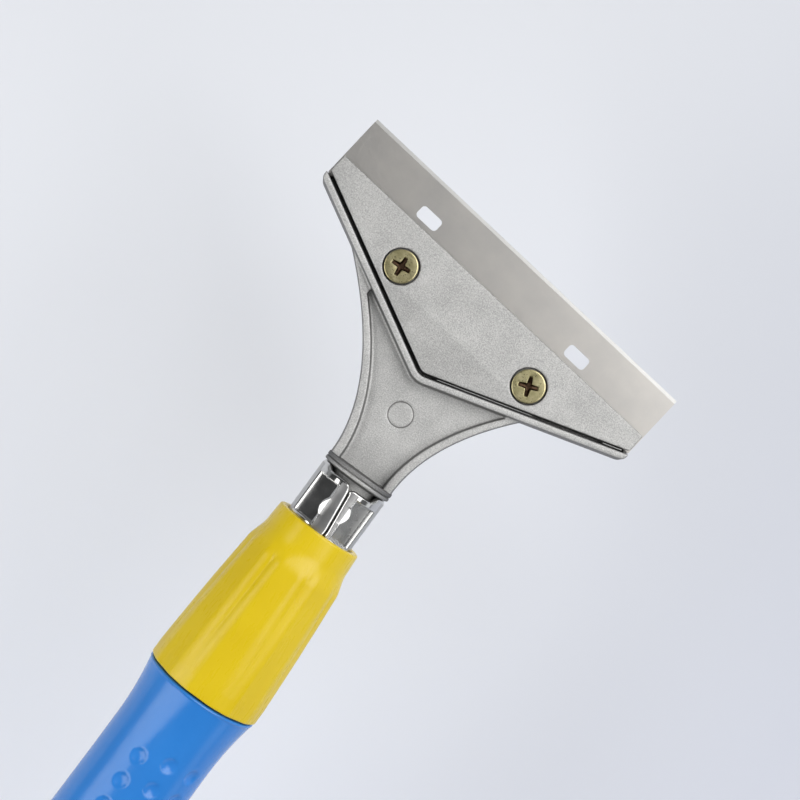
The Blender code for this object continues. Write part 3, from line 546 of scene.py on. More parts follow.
def web_half(back, neck=NECK_HALF):
    """Half the web's width at a distance behind the crossing point."""
    return neck + WEB_FLARE * (max(NECK_REACH - back, 0.0) / FLARE_RUN) ** FLARE_POWER


def web_section(back):
    """One section across the web. Its heights and chamfers grow towards the neck."""
    share = ease((back - WEB_START) / (NECK_REACH - WEB_START))
    half = web_half(back)
    top = (1.9 + 1.3 * share) * MM
    below = -(4.6 + 2.4 * share) * MM
    chamfer_x = (0.9 + 1.8 * share) * MM
    chamfer_z = (0.9 + 3.0 * share) * MM
    side = half - 0.45 * MM
    inner = side - 2.1 * MM
    right = [(side - chamfer_x, below), (side, below + chamfer_z), (half, -1.5 * MM), (side, top),
             (inner, top), (inner - 0.35 * MM, 0.3 * MM)]
    left = [(-x, z) for x, z in reversed(right)]
    return [Vector((x, CROSSING - back, z)) for x, z in right + left]


casting = put("head_shell", skin([web_section(b) for b in spread(WEB_START, WEB_END, 70)]), CAST_HEAD)
print("web", len(casting.data.polygons), "faces")

# %% [markdown]
# ## The vee with its rib
#
# The front of the casting is a thick floor with a rounded rib behind the plate. Its sections
# run another way than the web's, so it is a solid of its own: the web is cleared out of the
# seat, and then the vee is fused on.

# %% Vee with its floor and rib
FLOOR_THICK = 5.0 * MM
PLATE_TOP = 4.1 * MM
RIB_GAP = 0.9 * MM
RIB_OUT = RIB_GAP + 1.75 * MM
RIB_ROUND = 0.5 * MM
HEAD_WIDE = PLATE_WIDTH / 2 + 0.4 * MM
HEAD_FRONT = PLATE_FRONT - 0.4 * MM
PAST = EDGE_AHEAD + 1 * MM
OVER = PLATE_TOP + 1 * MM
RIB_EDGE = [(PLATE_TOP - down, inward) for down, inward in quarter_round(RIB_ROUND, 6)]

cleared = RIB_OUT - 0.9 * MM
combine(casting, in_head(vee_body([(z, cleared, HEAD_WIDE) for z in (-SEAT_GAP, OVER)], PAST)))

outside = [(-FLOOR_THICK, RIB_OUT + 0.25 * MM, HEAD_WIDE - 0.2 * MM),
           (-1.5 * MM, RIB_OUT + 0.45 * MM, HEAD_WIDE)]
outside += [(z, RIB_OUT - inward, HEAD_WIDE - inward) for z, inward in RIB_EDGE]
vee = put("vee_shell", in_head(vee_body(outside, HEAD_FRONT, 1.3 * MM)), CAST)
hollow_side = HEAD_WIDE + 1 * MM
hollow = [(0, RIB_GAP, hollow_side)]
hollow += [(z, RIB_GAP + inward, hollow_side) for z, inward in RIB_EDGE]
hollow.append((OVER, RIB_GAP + RIB_ROUND, hollow_side))
combine(vee, in_head(vee_body(hollow, PAST)))
vee_mesh = bmesh.new()
vee_mesh.from_mesh(vee.data)
bpy.data.objects.remove(vee, do_unlink=True)
combine(casting, vee_mesh, "UNION")
print("vee fused:", len(casting.data.polygons), "faces")

# %% [markdown]
# ## Pad, screw holes, pocket tip and slot
#
# A low pad fills the space under the plate behind the blade, and two through holes take the
# screws. The photograph shows two things more: the pocket's left tip is filled level with the
# rim, and the gap between plate and rib is so black that a deep slot must lie under it.

# %% Pad, holes, pocket tip and slot
PAD_TOP = 0.8 * MM
PAD_INSET, PAD_SHORT = 1.2 * MM, 3 * MM
BLADE_BACK = EDGE_AHEAD - 17.4 * MM
SCREW_X, SCREW_Y = 21.1 * MM, EDGE_AHEAD - 22.3 * MM
HOLE_RADIUS = 2.3 * MM
TIP_FIRST, TIP_LAST, TIP_OUT, TIP_NECK = 10 * MM, 13.4 * MM, 24.5 * MM, 7.65 * MM
TIP_LOW, TIP_HIGH = -1 * MM, 1.9 * MM
GAP_NEAR, GAP_SIDE, GAP_FLOOR = 0.1 * MM, HEAD_WIDE - 1.2 * MM, -3 * MM


def rod(radius, low, high, x, y, sides=64):
    """An upright rod between two heights."""
    return prism([(x + radius * cos(t), y + radius * sin(t)) for t in turns(sides)], low, high)


pad_front = BLADE_BACK - SEAT_GAP
pad_side = (pad_front - PLATE_APEX - PAD_INSET / VEE_COS) / VEE_TAN - PAD_SHORT
pad = vee_body([(z, -PAD_INSET, pad_side) for z in (-FLOOR_THICK / 2, PAD_TOP)], pad_front)
combine(casting, in_head(pad), "UNION")
for side in (-1, 1):
    combine(casting, in_head(rod(HOLE_RADIUS, -FLOOR_THICK - 1 * MM, 2 * MM, side * SCREW_X, SCREW_Y)))
tip = []
for back in spread(TIP_FIRST, TIP_LAST, 8):
    rim = web_half(back, TIP_NECK)
    tip.append([Vector((-x, CROSSING - back, z)) for x, z in ((TIP_OUT, TIP_LOW), (rim, TIP_LOW),
                                                              (rim, TIP_HIGH), (TIP_OUT, TIP_HIGH))])
combine(casting, skin(tip), "UNION")
gap_line = vee_line(RIB_GAP, GAP_SIDE) + vee_line(GAP_NEAR, GAP_SIDE)[::-1]
combine(casting, in_head(prism(gap_line, GAP_FLOOR, OVER)))
print("casting:", len(casting.data.polygons), "faces")

# %% [markdown]
# ## Ejector mark and flash
#
# The pocket's floor carries the round mark of an ejector pin: a shallow groove here, and its
# shade painted in the finish as a fine dark line. Two stretches of thin flash stand in the
# right arm of the gap.
# The remesh would lose them, so they are pieces of their own.

# %% Ejector mark, softening and flash
MARK_GROOVE = ((2.9 * MM, 0), (3.4 * MM, 0), (3.4 * MM, 1 * MM), (2.9 * MM, 1 * MM))
FLASH_FOOT = -2.9 * MM

mark_rings = [[Vector((MARK.x + r * cos(t), MARK.y + r * sin(t), z)) for r, z in MARK_GROOVE]
              for t in turns(96)]
combine(casting, skin(mark_rings, loop=True))
soften(casting, 0.25 * MM, 3, 0.3)
dress(casting, "pole", "head_casting", 0)
for name, first, last, crest in (("gap_flash_inner", 4 * MM, 26.5 * MM, 3.3 * MM),
                                 ("gap_flash_outer", 43.5 * MM, HEAD_WIDE - 2 * MM, 3.7 * MM)):
    wall = ((0.34 * MM, FLASH_FOOT), (0.56 * MM, FLASH_FOOT), (0.53 * MM, crest), (0.39 * MM, crest))
    flash = [[Vector((x, vee_edge(offset, x), z)) for offset, z in wall] for x in (first, last)]
    dress(put(name, in_head(skin(flash)), CAST), "pole", "head_casting", 40)

# %% [markdown]
# ## Flange and tang
#
# The neck ends in a round flange with a line turned round it, and a tang that the tube is
# rolled and pressed on to. The remesh would blur that fine line, so flange and tang are one
# turned piece of their own. The bead in front of the line wears a darker grey, a painted shade.

# %% Flange and tang
TANG_END = FLANGE_BACK - 27 * MM
WAIST_FOOT = TUBE_TOP - 15.8 * MM
TANG_RADIUS, WAIST_RADIUS, FLANGE_RADIUS = 7.3 * MM, 6.7 * MM, 9.35 * MM
TURNED_LINE = FLANGE_BACK + 1.0 * MM


def bead(back, front, radius, shoulder):
    """Profile of a bead with round shoulders, from its back to its front."""
    corner = quarter_round(shoulder, 5)
    return ([(back + end, radius - side) for end, side in corner[::-1]]
            + [(front - end, radius - side) for end, side in corner])


flange_profile = [(TANG_END, TANG_RADIUS - 0.4 * MM), (TANG_END + 0.4 * MM, TANG_RADIUS),
                  (WAIST_FOOT - 0.3 * MM, TANG_RADIUS), (WAIST_FOOT, WAIST_RADIUS),
                  (FLANGE_BACK - 0.55 * MM, WAIST_RADIUS), (FLANGE_BACK - 0.1 * MM, 8.8 * MM)]
flange_profile += bead(FLANGE_BACK, FLANGE_BACK + 0.95 * MM, FLANGE_RADIUS, 0.35 * MM)
flange_profile += bead(FLANGE_BACK + 1.05 * MM, FLANGE_BACK + FLANGE_THICK, FLANGE_RADIUS, 0.3 * MM)
flange_rings = [ring(radius, y, 192) for y, radius in flange_profile]
flange = put("flange_and_tang", skin(flange_rings), CAST, CAST_PAINTED_SHADE)
# the bead in front of the turned line wears the painted shade
for face in flange.data.polygons:
    face.material_index = 1 if face.center.y > TURNED_LINE else 0
dress(flange, "pole", "head_casting", 50)

# %% [markdown]
# ## The clamp plate
#
# The plate is a second casting, thick at the back and thinned towards the blade from a faint
# crease. Two round recesses take the flat screw heads. The wedge that thins it is cut off
# with one Boolean, and the recesses with two cylinders each.

# %% Clamp plate
CREASE = EDGE_AHEAD - 26.2 * MM
FRONT_THICK = 1.2 * MM
RECESS_RADIUS, RECESS_FLOOR = 4.55 * MM, PLATE_BOTTOM + 1.2 * MM

block = vee_body([(z, 0, PLATE_WIDTH / 2) for z in (PLATE_BOTTOM, PLATE_TOP)], PLATE_FRONT, 0.5 * MM)
plate = put("clamp_plate_cover", in_head(block), CAST)
drop = (PLATE_TOP - PLATE_BOTTOM - FRONT_THICK) / (PLATE_FRONT - CREASE)
wedge = [(CREASE, PLATE_TOP), (PAST, PLATE_TOP - drop * (PAST - CREASE)), (PAST, OVER), (CREASE, OVER)]
combine(plate, in_head(beam(wedge, 60 * MM)))
for side in (-1, 1):
    for radius, low, sides in ((RECESS_RADIUS, RECESS_FLOOR, 96), (HOLE_RADIUS, 0, 64)):
        combine(plate, in_head(rod(radius, low, OVER, side * SCREW_X, SCREW_Y, sides)))
soften(plate, 0.22 * MM, 3, 0.3)
dress(plate, "clamp", "clamp_plate", 0)

# %% [markdown]
# ## The blade
#
# The blade is a strip of 0.5 mm steel. A section drawn across it holds the ground bevel, and
# the strip is that section run from one end to the other. The two slots are cut with rounded
# prisms, a little to the right, as in the photograph. Faces in front of the grinding line
# wear the ground finish.

# %% Blade with its ground edge
GRIND_LINE = EDGE_AHEAD - 0.9 * MM
BLADE_BOTTOM = 0.3 * MM
BLADE_HALF = 49.99 * MM
SLOT_LENGTH, SLOT_WIDTH, SLOT_CORNER = 6.4 * MM, 3.4 * MM, 1.0 * MM
SLOT_X, SLOT_SHIFT, SLOT_Y = 24.6 * MM, 0.3 * MM, EDGE_AHEAD - 8.95 * MM


def rounded_box(width, depth, corner, x, y):
    """A rectangle with round corners."""
    points = []
    for k, (sx, sy) in enumerate(((1, 1), (-1, 1), (-1, -1), (1, -1))):
        for angle in spread(0, pi / 2, 8):
            turn = angle + k * pi / 2
            points.append((x + sx * (width / 2 - corner) + corner * cos(turn),
                           y + sy * (depth / 2 - corner) + corner * sin(turn)))
    return points


section = [(EDGE_AHEAD, BLADE_BOTTOM), (EDGE_AHEAD, BLADE_BOTTOM + 0.05 * MM), (GRIND_LINE, PAD_TOP),
           (BLADE_BACK, PAD_TOP), (BLADE_BACK, BLADE_BOTTOM)]
blade = put("blade_strip", beam(section, BLADE_HALF), BLADE, GRIND)
for side in (-1, 1):
    slot = rounded_box(SLOT_LENGTH, SLOT_WIDTH, SLOT_CORNER, side * SLOT_X + SLOT_SHIFT, SLOT_Y)
    combine(blade, prism(slot, -1 * MM, 2 * MM))
for face in blade.data.polygons:
    face.material_index = 1 if face.center.y > GRIND_LINE and face.normal.z > 0.5 else 0
blade.data.transform(HEAD_PLACE)
dress(blade, "cutter", "blade", 10)

# %% [markdown]
# ## The screws
#
# Each screw is a low flat head with a cross recess, and a threaded shank. The thread is a
# helix: its radius at any point follows both the height and the angle, so one loft draws it.
# The cross is two bars, a quarter turn apart, wider in the middle and narrower with depth.

# %% Screws with cross recess and thread
SHANK_LENGTH = 6.6 * MM
THREAD_PITCH = 0.7 * MM
SCREW_RADIUS, SCREW_ROUND = 4.2 * MM, 0.32 * MM
# levels of one bar of the cross: length and middle width in millimetres, and height
CROSS_LEVELS = ((1.8, 0.8, SCREW_TOP - 1.25 * MM), (4.4, 1.15, SCREW_TOP - 0.5 * MM),
                (5.3, 1.35, SCREW_TOP), (5.6, 1.6, SCREW_TOP + 0.5 * MM))
BAR_TAPER = 0.7


def thread_radius(z):
    """Radius round the shank at one height: a ridge that climbs with the angle."""
    def at(t):
        turn = (z / THREAD_PITCH - t / (2 * pi)) % 1
        return 2 * MM - 0.3 * MM * (1 - abs(2 * turn - 1))
    return at


def cross_bar(quarter):
    """One bar of the cross, turned by quarters."""
    levels = []
    for length, width, z in CROSS_LEVELS:
        a, b = length / 2 * MM, width / 2 * MM
        end = b * BAR_TAPER
        levels.append([Vector((x, y, z)) for x, y in ((-a, -end), (-b, -b), (b, -b), (a, -end),
                                                      (a, end), (b, b), (-b, b), (-a, end))])
    bar = skin(levels)
    bmesh.ops.rotate(bar, cent=(0, 0, 0), verts=bar.verts,
                     matrix=Matrix.Rotation(quarter * pi / 2, 3, "Z"))
    return bar


def make_screw(name, body, node, place_x, turn):
    """A screw in its place in the plate, with its cross turned as in the photograph."""
    shank_end = SCREW_UNDER - SHANK_LENGTH
    levels = [(1.2 * MM, shank_end)]
    levels += [(thread_radius(z), z) for z in spread(shank_end + 0.4 * MM, SCREW_UNDER, 90)]
    levels += [(SCREW_RADIUS - 0.15 * MM, SCREW_UNDER)]
    levels += [(SCREW_RADIUS - side, SCREW_TOP - end) for end, side in quarter_round(SCREW_ROUND, 6)]
    screw = put(name, skin([ring(radius, z, 96, upright=True) for radius, z in levels]), ZINC)
    for quarter in (0, 1):
        combine(screw, cross_bar(quarter))
    screw.data.transform(HEAD_PLACE @ Matrix.Translation((place_x, SCREW_Y, 0))
                         @ Matrix.Rotation(turn, 4, "Z"))
    soften(screw, 0.09 * MM, 2, 0.4)
    dress(screw, body, node, 0)


make_screw("cross_screw_left", "left_screw", "screw_left", -SCREW_X, radians(11))
make_screw("cross_screw_right", "right_screw", "screw_right", SCREW_X, radians(27))

# %% [markdown]
# ## The sheet of the inner tube
#
# The tube is sheet rolled round the tang. Its seam stays open and runs a little askew, its
# end is cut back in a shallow notch, deeper on the right, and a panel is pressed in on each
# side of the seam to hold the tang, with a crimp at mid-length. A flat mirror is either all
# bright or all dark, so the far walls, crimps and lip bevels are tilted by the one angle that
# shows a lamp. A grid of points that knows its distance from the seam can carry all of this
# as one height field, which no Boolean would do as smoothly.

# %% Height field of the sheet
TUBE_RADIUS = 9.15 * MM
TUBE_WALL = 0.8 * MM
COLUMNS = 420
SEAM_OPEN, SEAM_RUN = 0.19 * MM, 13 * MM
SEAM_TOP, SEAM_FOOT = radians(1.0), radians(10.5)
LAMP_TILT = radians(22.0)
PANEL_TILT = radians(33)
WALL_SLOPE = radians(68)
# near edge and far edge across, corner of far wall and floor, its fillet, middle and crimp below the end
PANELS = {-1: (2.4 * MM, 8.2 * MM, 7.0 * MM, 0.25 * MM, 8.3 * MM, 8.9 * MM),
          1: (3.1 * MM, 8.4 * MM, 6.9 * MM, 0.35 * MM, 8.9 * MM, 7.9 * MM)}
PANEL_HALF, END_STEEPNESS = 5.65 * MM, 3.5
CRIMP_HALF, CRIMP_BITE = 2.3 * MM, 1.0 * MM
# by side of the seam: depth of the notch, width of the lip's bevel
NOTCH = {-1: 1.0 * MM, 1: 1.7 * MM}
BEVEL = {-1: 0.55 * MM, 1: 0.4 * MM}
LIP_CORNER, LIP_ROLL = 1.4 * MM, 0.25 * MM


def notch_depth(along, side, to_edge):
    """How far the tube's end lies back: the notch, and the round corner of a lip."""
    wide = ease((9.4 * MM - along) / (2.8 * MM))
    lip = min(max(1 - to_edge / LIP_CORNER, 0.0), 1.0)
    return NOTCH[side] * wide + 1.3 * MM * (1 - sqrt(1 - lip * lip))


def larger(a, b, fillet=0.2 * MM):
    """The larger of two lengths, with a round corner where they meet."""
    near = max(1 - abs(a - b) / fillet, 0.0)
    return max(a, b) + near * near * fillet / 4


def panel_radius(angle, down):
    """Radius of the sheet at a place: round, or one of the flat faces of a pressed panel."""
    near_x, far_x, corner_x, fillet, middle, crimp = PANELS[-1 if angle < 0 else 1]
    out = abs(angle)
    if out > pi / 2:
        return TUBE_RADIUS
    far_angle = asin(far_x / TUBE_RADIUS)
    far = TUBE_RADIUS * cos(far_angle - LAMP_TILT)
    corner_z = (far - corner_x * sin(LAMP_TILT)) / cos(LAMP_TILT)
    floor = corner_x * sin(PANEL_TILT) + corner_z * cos(PANEL_TILT)
    bite = max(1 - ((down - crimp) / CRIMP_HALF) ** 2, 0.0)
    facet_angle = asin((near_x - 0.25 * MM) / TUBE_RADIUS)
    facet = TUBE_RADIUS * cos(facet_angle - LAMP_TILT) / cos(out - LAMP_TILT)
    near_angle = asin((near_x + CRIMP_BITE * bite) / TUBE_RADIUS)
    near_wall = TUBE_RADIUS * cos(WALL_SLOPE) / max(cos(out - near_angle - WALL_SLOPE), 0.01)
    if out < near_angle:
        near_wall = TUBE_RADIUS * 1.2
    end_wall = TUBE_RADIUS - END_STEEPNESS * (PANEL_HALF - abs(down - middle))
    pressed = larger(far / cos(out - LAMP_TILT), floor / cos(out - PANEL_TILT), fillet)
    pressed = larger(larger(pressed, near_wall), end_wall)
    if bite > 0:
        pressed = min(pressed, facet)
    return TUBE_RADIUS * 2 - larger(TUBE_RADIUS, TUBE_RADIUS * 2 - pressed)


def lip_drop(angle, side, to_edge):
    """The seam's lips: a narrow bevel that faces the lamp across from it, then a round edge."""
    bevel = tan(LAMP_TILT + side * angle) * max(BEVEL[side] - to_edge, 0.0)
    roll = 1 - min(to_edge / LIP_ROLL, 1.0)
    return bevel + LIP_ROLL * (1 - sqrt(1 - roll * roll))


def sheet_row(down):
    """Outer and inner points of the sheet at one distance below the tube's end."""
    row = []
    open_angle = SEAM_OPEN / TUBE_RADIUS
    recover = max(1 - down / (3 * MM), 0.0)
    seam = SEAM_TOP + (SEAM_FOOT - SEAM_TOP) * min(down / SEAM_RUN, 1.0)
    for i in range(COLUMNS + 1):
        share = i / COLUMNS
        share -= 0.11 * sin(2 * pi * share)
        from_seam = open_angle + (2 * pi - 2 * open_angle) * share
        side = 1 if from_seam < pi else -1
        to_edge = max(min(from_seam, 2 * pi - from_seam) - open_angle, 0.0) * TUBE_RADIUS
        angle = (from_seam + seam + pi) % (2 * pi) - pi
        y = TUBE_TOP - down - notch_depth(abs(angle) * TUBE_RADIUS, side, to_edge) * recover
        curl = 0.4 * MM * max(1 - down / (1.1 * MM), 0.0) ** 2
        outer = panel_radius(angle, TUBE_TOP - y) - curl - lip_drop(angle, side, to_edge)
        row.append([Vector((reach * sin(angle), y, reach * cos(angle)))
                    for reach in (outer, outer - TUBE_WALL)])
    return row


print("sheet of", COLUMNS, "columns, seam open by", round(2 * SEAM_OPEN / MM, 2), "mm")

# %% [markdown]
# ## The inner tube
#
# Rows of the height field become an outer and an inner skin, closed by strips along all four
# edges. Each face wears a finish by its place: bright at the panels, rubbed on the rest of
# the outside, satin on the right panel's floor.

# %% Inner tube
PANELS_FOOT = 16 * MM
BY_PANELS = ((-8.2 * MM, -2.2 * MM), (2.8 * MM, 8.4 * MM))
SATIN_FLOOR = (3.4 * MM, 7.0 * MM)


def sheet_body(rows):
    """Two skins joined by strips along all four edges."""
    bm = bmesh.new()
    grid = [[[bm.verts.new(point) for point in pair] for pair in row] for row in rows]
    for high, low in zip(grid, grid[1:]):
        for i in range(len(high) - 1):
            for k in (0, 1):
                bm.faces.new((high[i][k], high[i + 1][k], low[i + 1][k], low[i][k]))
        for i in (0, -1):
            bm.faces.new((high[i][0], low[i][0], low[i][1], high[i][1]))
    for row in (grid[0], grid[-1]):
        for left, right in zip(row, row[1:]):
            bm.faces.new((left[0], right[0], right[1], left[1]))
    return bm


def sheet_finish(centre):
    """The finish of a face by its place: 0 bright, 1 rubbed, 2 satin."""
    height = hypot(centre.x, centre.z)
    by_panel = any(low < centre.x < high for low, high in BY_PANELS)
    if not by_panel or centre.z <= 0 or centre.y <= TUBE_TOP - PANELS_FOOT:
        return 1 if height > TUBE_RADIUS - 0.05 * MM else 0
    deep = height < TUBE_RADIUS - 0.3 * MM
    return 2 if deep and SATIN_FLOOR[0] < centre.x < SATIN_FLOOR[1] else 0


# close rows at the panels, a few on the plain tube below
downs = spread(0, 15.5 * MM, 110) + spread(20 * MM, TUBE_TOP - TUBE_END, 6)
tube = put("rolled_tube", sheet_body([sheet_row(down) for down in downs]), BRIGHT, RUBBED, SATIN)
for face in tube.data.polygons:
    face.material_index = sheet_finish(face.center)
dress(tube, "pole", "inner_tube", 50)

# %% [markdown]
# ## The lock collar
#
# The collar is moulded with eight flutes, like petals whose arched tops end below a round
# shoulder and a short lip. Its outside is a loft of rings whose radius follows the angle: a
# petal is flat in its middle and dips at each crease, deep near the top and hardly at all at
# the foot.

# %% Lock collar
COLLAR_LENGTH = COLLAR_TOP - COLLAR_FOOT
COLLAR_SIDES = 320
LIP_LENGTH = 5.0 * MM
CONE_DOWN = 12.0 * MM
PETALS = 8
PETAL_FLAT = radians(11.25)
PARTING = radians(21)


def collar_radius(down):
    """Outer radius of the collar in the middle of a petal, at a distance below its mouth."""
    if down <= LIP_LENGTH:
        return 11.5 * MM + 0.3 * MM * down / LIP_LENGTH
    if down <= CONE_DOWN:
        return 11.8 * MM + 1.45 * MM * ease((down - LIP_LENGTH) / (CONE_DOWN - LIP_LENGTH))
    share = min((down - CONE_DOWN) / (COLLAR_LENGTH - 4 * MM - CONE_DOWN), 1.0)
    return 13.25 * MM + 2.0 * MM * share + 0.16 * MM * sin(pi * share)


def petal_rise(angle, down):
    """How far a petal lies outside the round: flat in its middle, with a dip at each crease."""
    away = abs((angle * PETALS / (2 * pi) + 0.5) % 1 - 0.5)
    across = 2 * away
    flat = min(away * pi / 4, PETAL_FLAT)
    arch = 6.4 * MM + 2.5 * MM * (1 - sqrt(max(1 - across * across, 0.0)))
    share = ease((down - arch) / (4 * MM))
    crease = 0.75 * MM * across ** 3 * (1 - 0.9 * down / COLLAR_LENGTH)
    return (collar_radius(down) * (1 / cos(flat) - 1) - crease) * share


def collar_ring(up, inset=0.0):
    """One ring of the collar's outside, with the mould's fine parting line on one side."""
    down = COLLAR_LENGTH - up

    def reach(angle):
        line = 0.05 * MM if abs(angle - PARTING) < pi / COLLAR_SIDES and down > CONE_DOWN else 0.0
        return collar_radius(down) + petal_rise(angle, down) + line - inset
    return ring(reach, COLLAR_FOOT + up, COLLAR_SIDES)


rings = [collar_ring(end, side) for end, side in quarter_round(0.4 * MM, 5)[::-1]]
rings += [collar_ring(up) for up in spread(0.8 * MM, COLLAR_LENGTH - 0.8 * MM, 130)]
rings += [collar_ring(COLLAR_LENGTH - end, side) for end, side in quarter_round(0.5 * MM, 6)]
ring_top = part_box("clamp_ring")[1].y - COLLAR_FOOT
inside = [(COLLAR_LENGTH, 9.9 * MM), (COLLAR_LENGTH - 0.3 * MM, 9.55 * MM), (ring_top + SEAT_GAP, 9.55 * MM),
          (ring_top + SEAT_GAP, 10.6 * MM), (ring_top - 10.3 * MM, 12.3 * MM), (8 * MM, 12.3 * MM),
          (8 * MM, 13.9 * MM), (0, 13.9 * MM)]
rings += [ring(radius, COLLAR_FOOT + up, COLLAR_SIDES) for up, radius in inside]
collar = put("fluted_collar", skin(rings, loop=True), YELLOW)
dress(collar, "collar", "lock_collar", 40)

# %% [markdown]
# ## The grip
#
# The grip is a soft sleeve with a flared mouth and a slight palm swell. Two patches of
# shallow round dimples, in staggered columns, give the fingers hold. They are pressed into a
# fine grid of points: a point inside a dimple's circle drops towards the axis.

# %% Grip with dimples
GRIP_LENGTH = GRIP_TOP - GRIP_FOOT
GRIP_SIDES = 240
FLARE_LENGTH, FOOT_LENGTH = 17 * MM, 16 * MM
EDGE_ROUND, GRIP_BORE = 0.5 * MM, 11.0 * MM
DIMPLE_RADIUS, DIMPLE_DEPTH = 2.1 * MM, 0.7 * MM
DIMPLE_FIRST, DIMPLE_PITCH, DIMPLE_COUNT = 19 * MM, 7.05 * MM, 20
DIMPLE_COLUMNS = [(radians(19.5 + patch * 180 + step * 31.5), lift)
                  for patch in range(2) for step, lift in ((-1, 0), (0, 2.2 * MM), (1, 1.8 * MM))]


def grip_radius(down):
    """Outer radius of the grip at a distance below its mouth."""
    mouth = 1.75 * MM * max(1 - down / FLARE_LENGTH, 0.0) ** 2
    foot = 1.3 * MM * max(1 - (GRIP_LENGTH - down) / FOOT_LENGTH, 0.0) ** 2
    share = (down - FLARE_LENGTH) / (GRIP_LENGTH - FLARE_LENGTH - FOOT_LENGTH)
    swell = 0.9 * MM * sin(pi * min(max(share, 0.0), 1.0)) ** 2
    return 13.4 * MM + mouth + foot + swell


def dimple_drop(angle, down, radius):
    """Depth of the dimple at a place, or nothing between the dimples."""
    for column, lift in DIMPLE_COLUMNS:
        place_down = (down + lift - DIMPLE_FIRST) / DIMPLE_PITCH
        nearest = min(max(round(place_down), 0), DIMPLE_COUNT - 1)
        across = ((angle - column + pi) % (2 * pi) - pi) * radius
        away = (across ** 2 + ((place_down - nearest) * DIMPLE_PITCH) ** 2) / DIMPLE_RADIUS ** 2
        if away < 1:
            return DIMPLE_DEPTH * (1 - away)
    return 0.0


def grip_ring(down):
    """One ring of the grip's outside."""
    radius = grip_radius(down)
    return ring(lambda angle: radius - dimple_drop(angle, down, radius), GRIP_TOP - down, GRIP_SIDES)


# from foot to mouth, with close rows where the dimples are
downs = spread(GRIP_LENGTH - 0.6 * MM, 168 * MM, 8)
downs += spread(167 * MM, 14 * MM, 360) + spread(13 * MM, 0.6 * MM, 24)
rings = [ring(grip_radius(GRIP_LENGTH) - EDGE_ROUND, GRIP_FOOT, GRIP_SIDES)]
rings += [grip_ring(down) for down in downs]
rings += [ring(grip_radius(0) - side, GRIP_TOP - end, GRIP_SIDES)
          for end, side in quarter_round(EDGE_ROUND, 5)]
rings += [ring(GRIP_BORE, end, GRIP_SIDES) for end in (GRIP_TOP, GRIP_FOOT)]
grip = put("dimpled_grip", skin(rings, loop=True), BLUE)
dress(grip, "handle", "grip", 50)

# %% [markdown]
# ## The end cap
#
# The cap closes the outer tube. It has a rounded taper, a flat butt and a hole across it for
# hanging. The hole's edges are softened with the same remesh as the castings.

# %% End cap
BUTT_RADIUS, CAP_SWELL = 10.3 * MM, 4.1 * MM
PLUG_RADIUS, PLUG_LENGTH = 9.5 * MM, 16 * MM
HANGING_Y, HANGING_RADIUS = 9 * MM, 4 * MM

profile = [(CAP_TOP * (1 - cos(a)) * 0.976, BUTT_RADIUS + CAP_SWELL * sin(a))
           for a in spread(0, pi / 2, 24)]
profile += [(CAP_TOP, 13.9 * MM), (CAP_TOP, PLUG_RADIUS), (CAP_TOP + PLUG_LENGTH, PLUG_RADIUS)]
cap = put("hanging_cap", skin([ring(radius, y, 96) for y, radius in profile]), YELLOW)
hole = [(HANGING_Y + HANGING_RADIUS * cos(t), HANGING_RADIUS * sin(t)) for t in turns(64)]
combine(cap, beam(hole, 20 * MM))
soften(cap, 0.35 * MM, 3, 0.35)
dress(cap, "handle", "end_cap", 0)

# %% [markdown]
# ## Solids that stay
#
# The pieces inside the handle and the collar keep their plain solids, because only their
# finish can ever show: at the mouth of the collar, or through the gap of the clamp ring.

# %% Finishes for the inner solids
for node, material in (("guide_bush", NYLON), ("threaded_sleeve", NYLON), ("clamp_ring", NYLON),
                       ("bush_rivet", STEEL_TUBE), ("outer_tube", STEEL_TUBE)):
    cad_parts[node].data.materials.clear()
    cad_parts[node].data.materials.append(material)
    print(node, "wears", material.name)

# %% [markdown]
# ## The floor
#
# The photograph has the tool held some way above a pale blue-grey sheet, with almost no
# shadow, so the floor lies well below it. Light falls off away from the handle and to the
# right, and two slow slopes in the floor's colour paint that falloff as shade.

# %% Floor
FLOOR_HEIGHT, FLOOR_HALF = -0.11, 3
PALE, SHADED = (0.745, 0.76, 0.80), (0.61, 0.63, 0.70)
floor_mesh = bmesh.new()
bmesh.ops.create_grid(floor_mesh, x_segments=1, y_segments=1, size=FLOOR_HALF,
                      matrix=Matrix.Translation((0, 0, FLOOR_HEIGHT)))
paper, tree, shader = new_finish("pale_paper", Roughness=0.9)
across, along = parts_of(tree, "Object")[:2]
shade = maths(tree, "POWER", between(tree, across, 0, 1, -60 * MM, 160 * MM), 1.6)
# painted shade: the floor's colour falls off to the right and away from the handle
painted_falloff = between(tree, along, 1.13, 0.93, 115 * MM, 455 * MM)
colour = add(tree, "VectorMath", {0: tint(tree, shade, PALE, SHADED), "Scale": painted_falloff},
             operation="SCALE").outputs[0]
grain = noise(tree, place(tree), 0.6 * MM, 2.0)
wear(tree, shader, colour, between(tree, grain, 0.85, 0.95), bump(tree, grain, 0.02 * MM, 0.3))
floor = put("pale_floor", floor_mesh, paper)
print("floor at", FLOOR_HEIGHT)

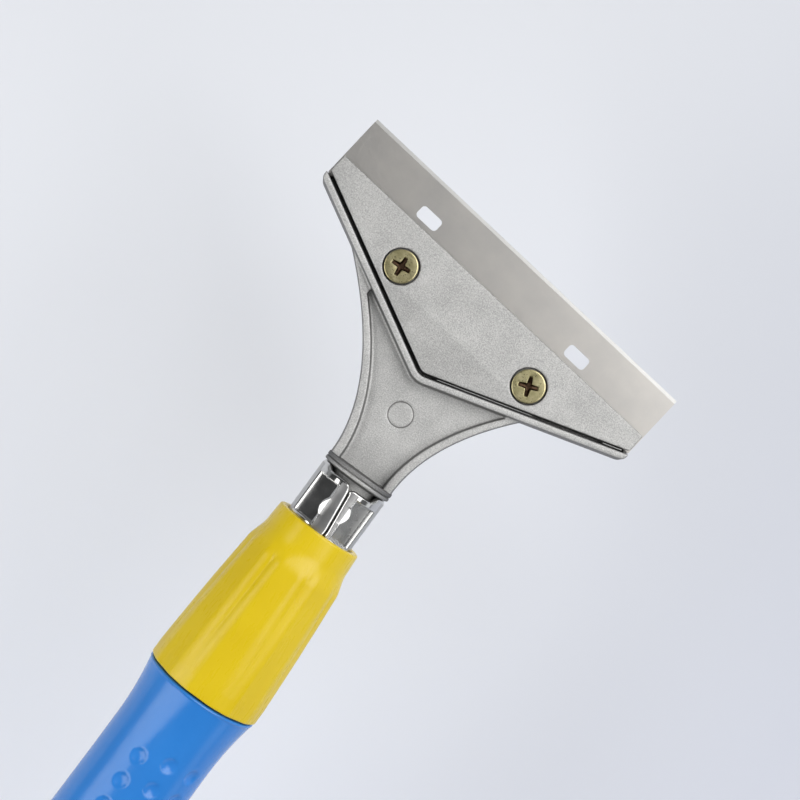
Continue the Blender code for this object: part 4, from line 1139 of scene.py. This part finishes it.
# %% [markdown]
# ## The room
#
# Glossy pieces mirror the room, and so they tell where the light stands. In the middle grip
# and collar are plain, so it is dark overhead. Low down the room is bright, more so on the
# right. A ramp over the height of each direction draws that.

# %% World
# height of a direction, from the horizon to overhead, and the grey that it sees
ROOM_GREYS = ((0.18, 0.85), (0.3, 0.14), (0.85, 0.14), (1.0, 0.3))
world = bpy.data.worlds.new("studio_room")
bpy.context.scene.world = world
world.use_nodes = True
room = world.node_tree
axes = parts_of(room, "Generated")
bands = add(room, "ValToRGB", {0: axes[2]})
stops = bands.color_ramp.elements
for stop, (height, grey) in zip(stops, ROOM_GREYS):
    stop.position = height
    stop.color = (grey, grey, grey, 1)
for height, grey in ROOM_GREYS[2:]:
    stops.new(height).color = (grey, grey, grey, 1)
glow = maths(room, "MULTIPLY", bands.outputs[0], between(room, axes[0], 0.4, 1.15, -1, 1))
room_colour = tint(room, glow, (0, 0, 0), (0.94, 0.97, 1.0))
room.links.new(room_colour, room.nodes["Background"].inputs["Color"])
room.nodes["Background"].inputs["Strength"].default_value = 1.0
print("world ready")

# %% [markdown]
# ## The lamps
#
# The grip has a sharp band of light on its left, between 9 and 34 degrees from its top: a
# mirror doubles these angles, so a soft box covers 18 to 68 degrees on that side. The
# collar's right side tells of a second box. Two small strips at 45 degrees are what the
# tube's tilted faces show.

# %% Lamps
MIDDLE = Vector((0, 0.26, 0))
# name, place from the middle, size and power
LAMPS = (("left_box", (-0.74, -0.70, 0.80), (1.2, 0.93), 9.5),
         ("right_box", (0.47, 0.64, 0.85), (1.2, 1.05), 14.0),
         ("strip_left", (-0.70, 0.0, 0.70), (0.35, 0.2), 0.6),
         ("strip_right", (0.70, 0.0, 0.70), (0.35, 0.2), 0.6))
for name, offset, size, power in LAMPS:
    light = bpy.data.objects.new(name, bpy.data.lights.new(name, "AREA"))
    light.data.shape = "RECTANGLE"
    light.data.size, light.data.size_y = size
    light.data.energy = power
    light.location = MIDDLE + Vector(offset)
    light.rotation_euler = (MIDDLE - light.location).to_track_quat("-Z", "Y").to_euler()
    bpy.context.scene.collection.objects.link(light)
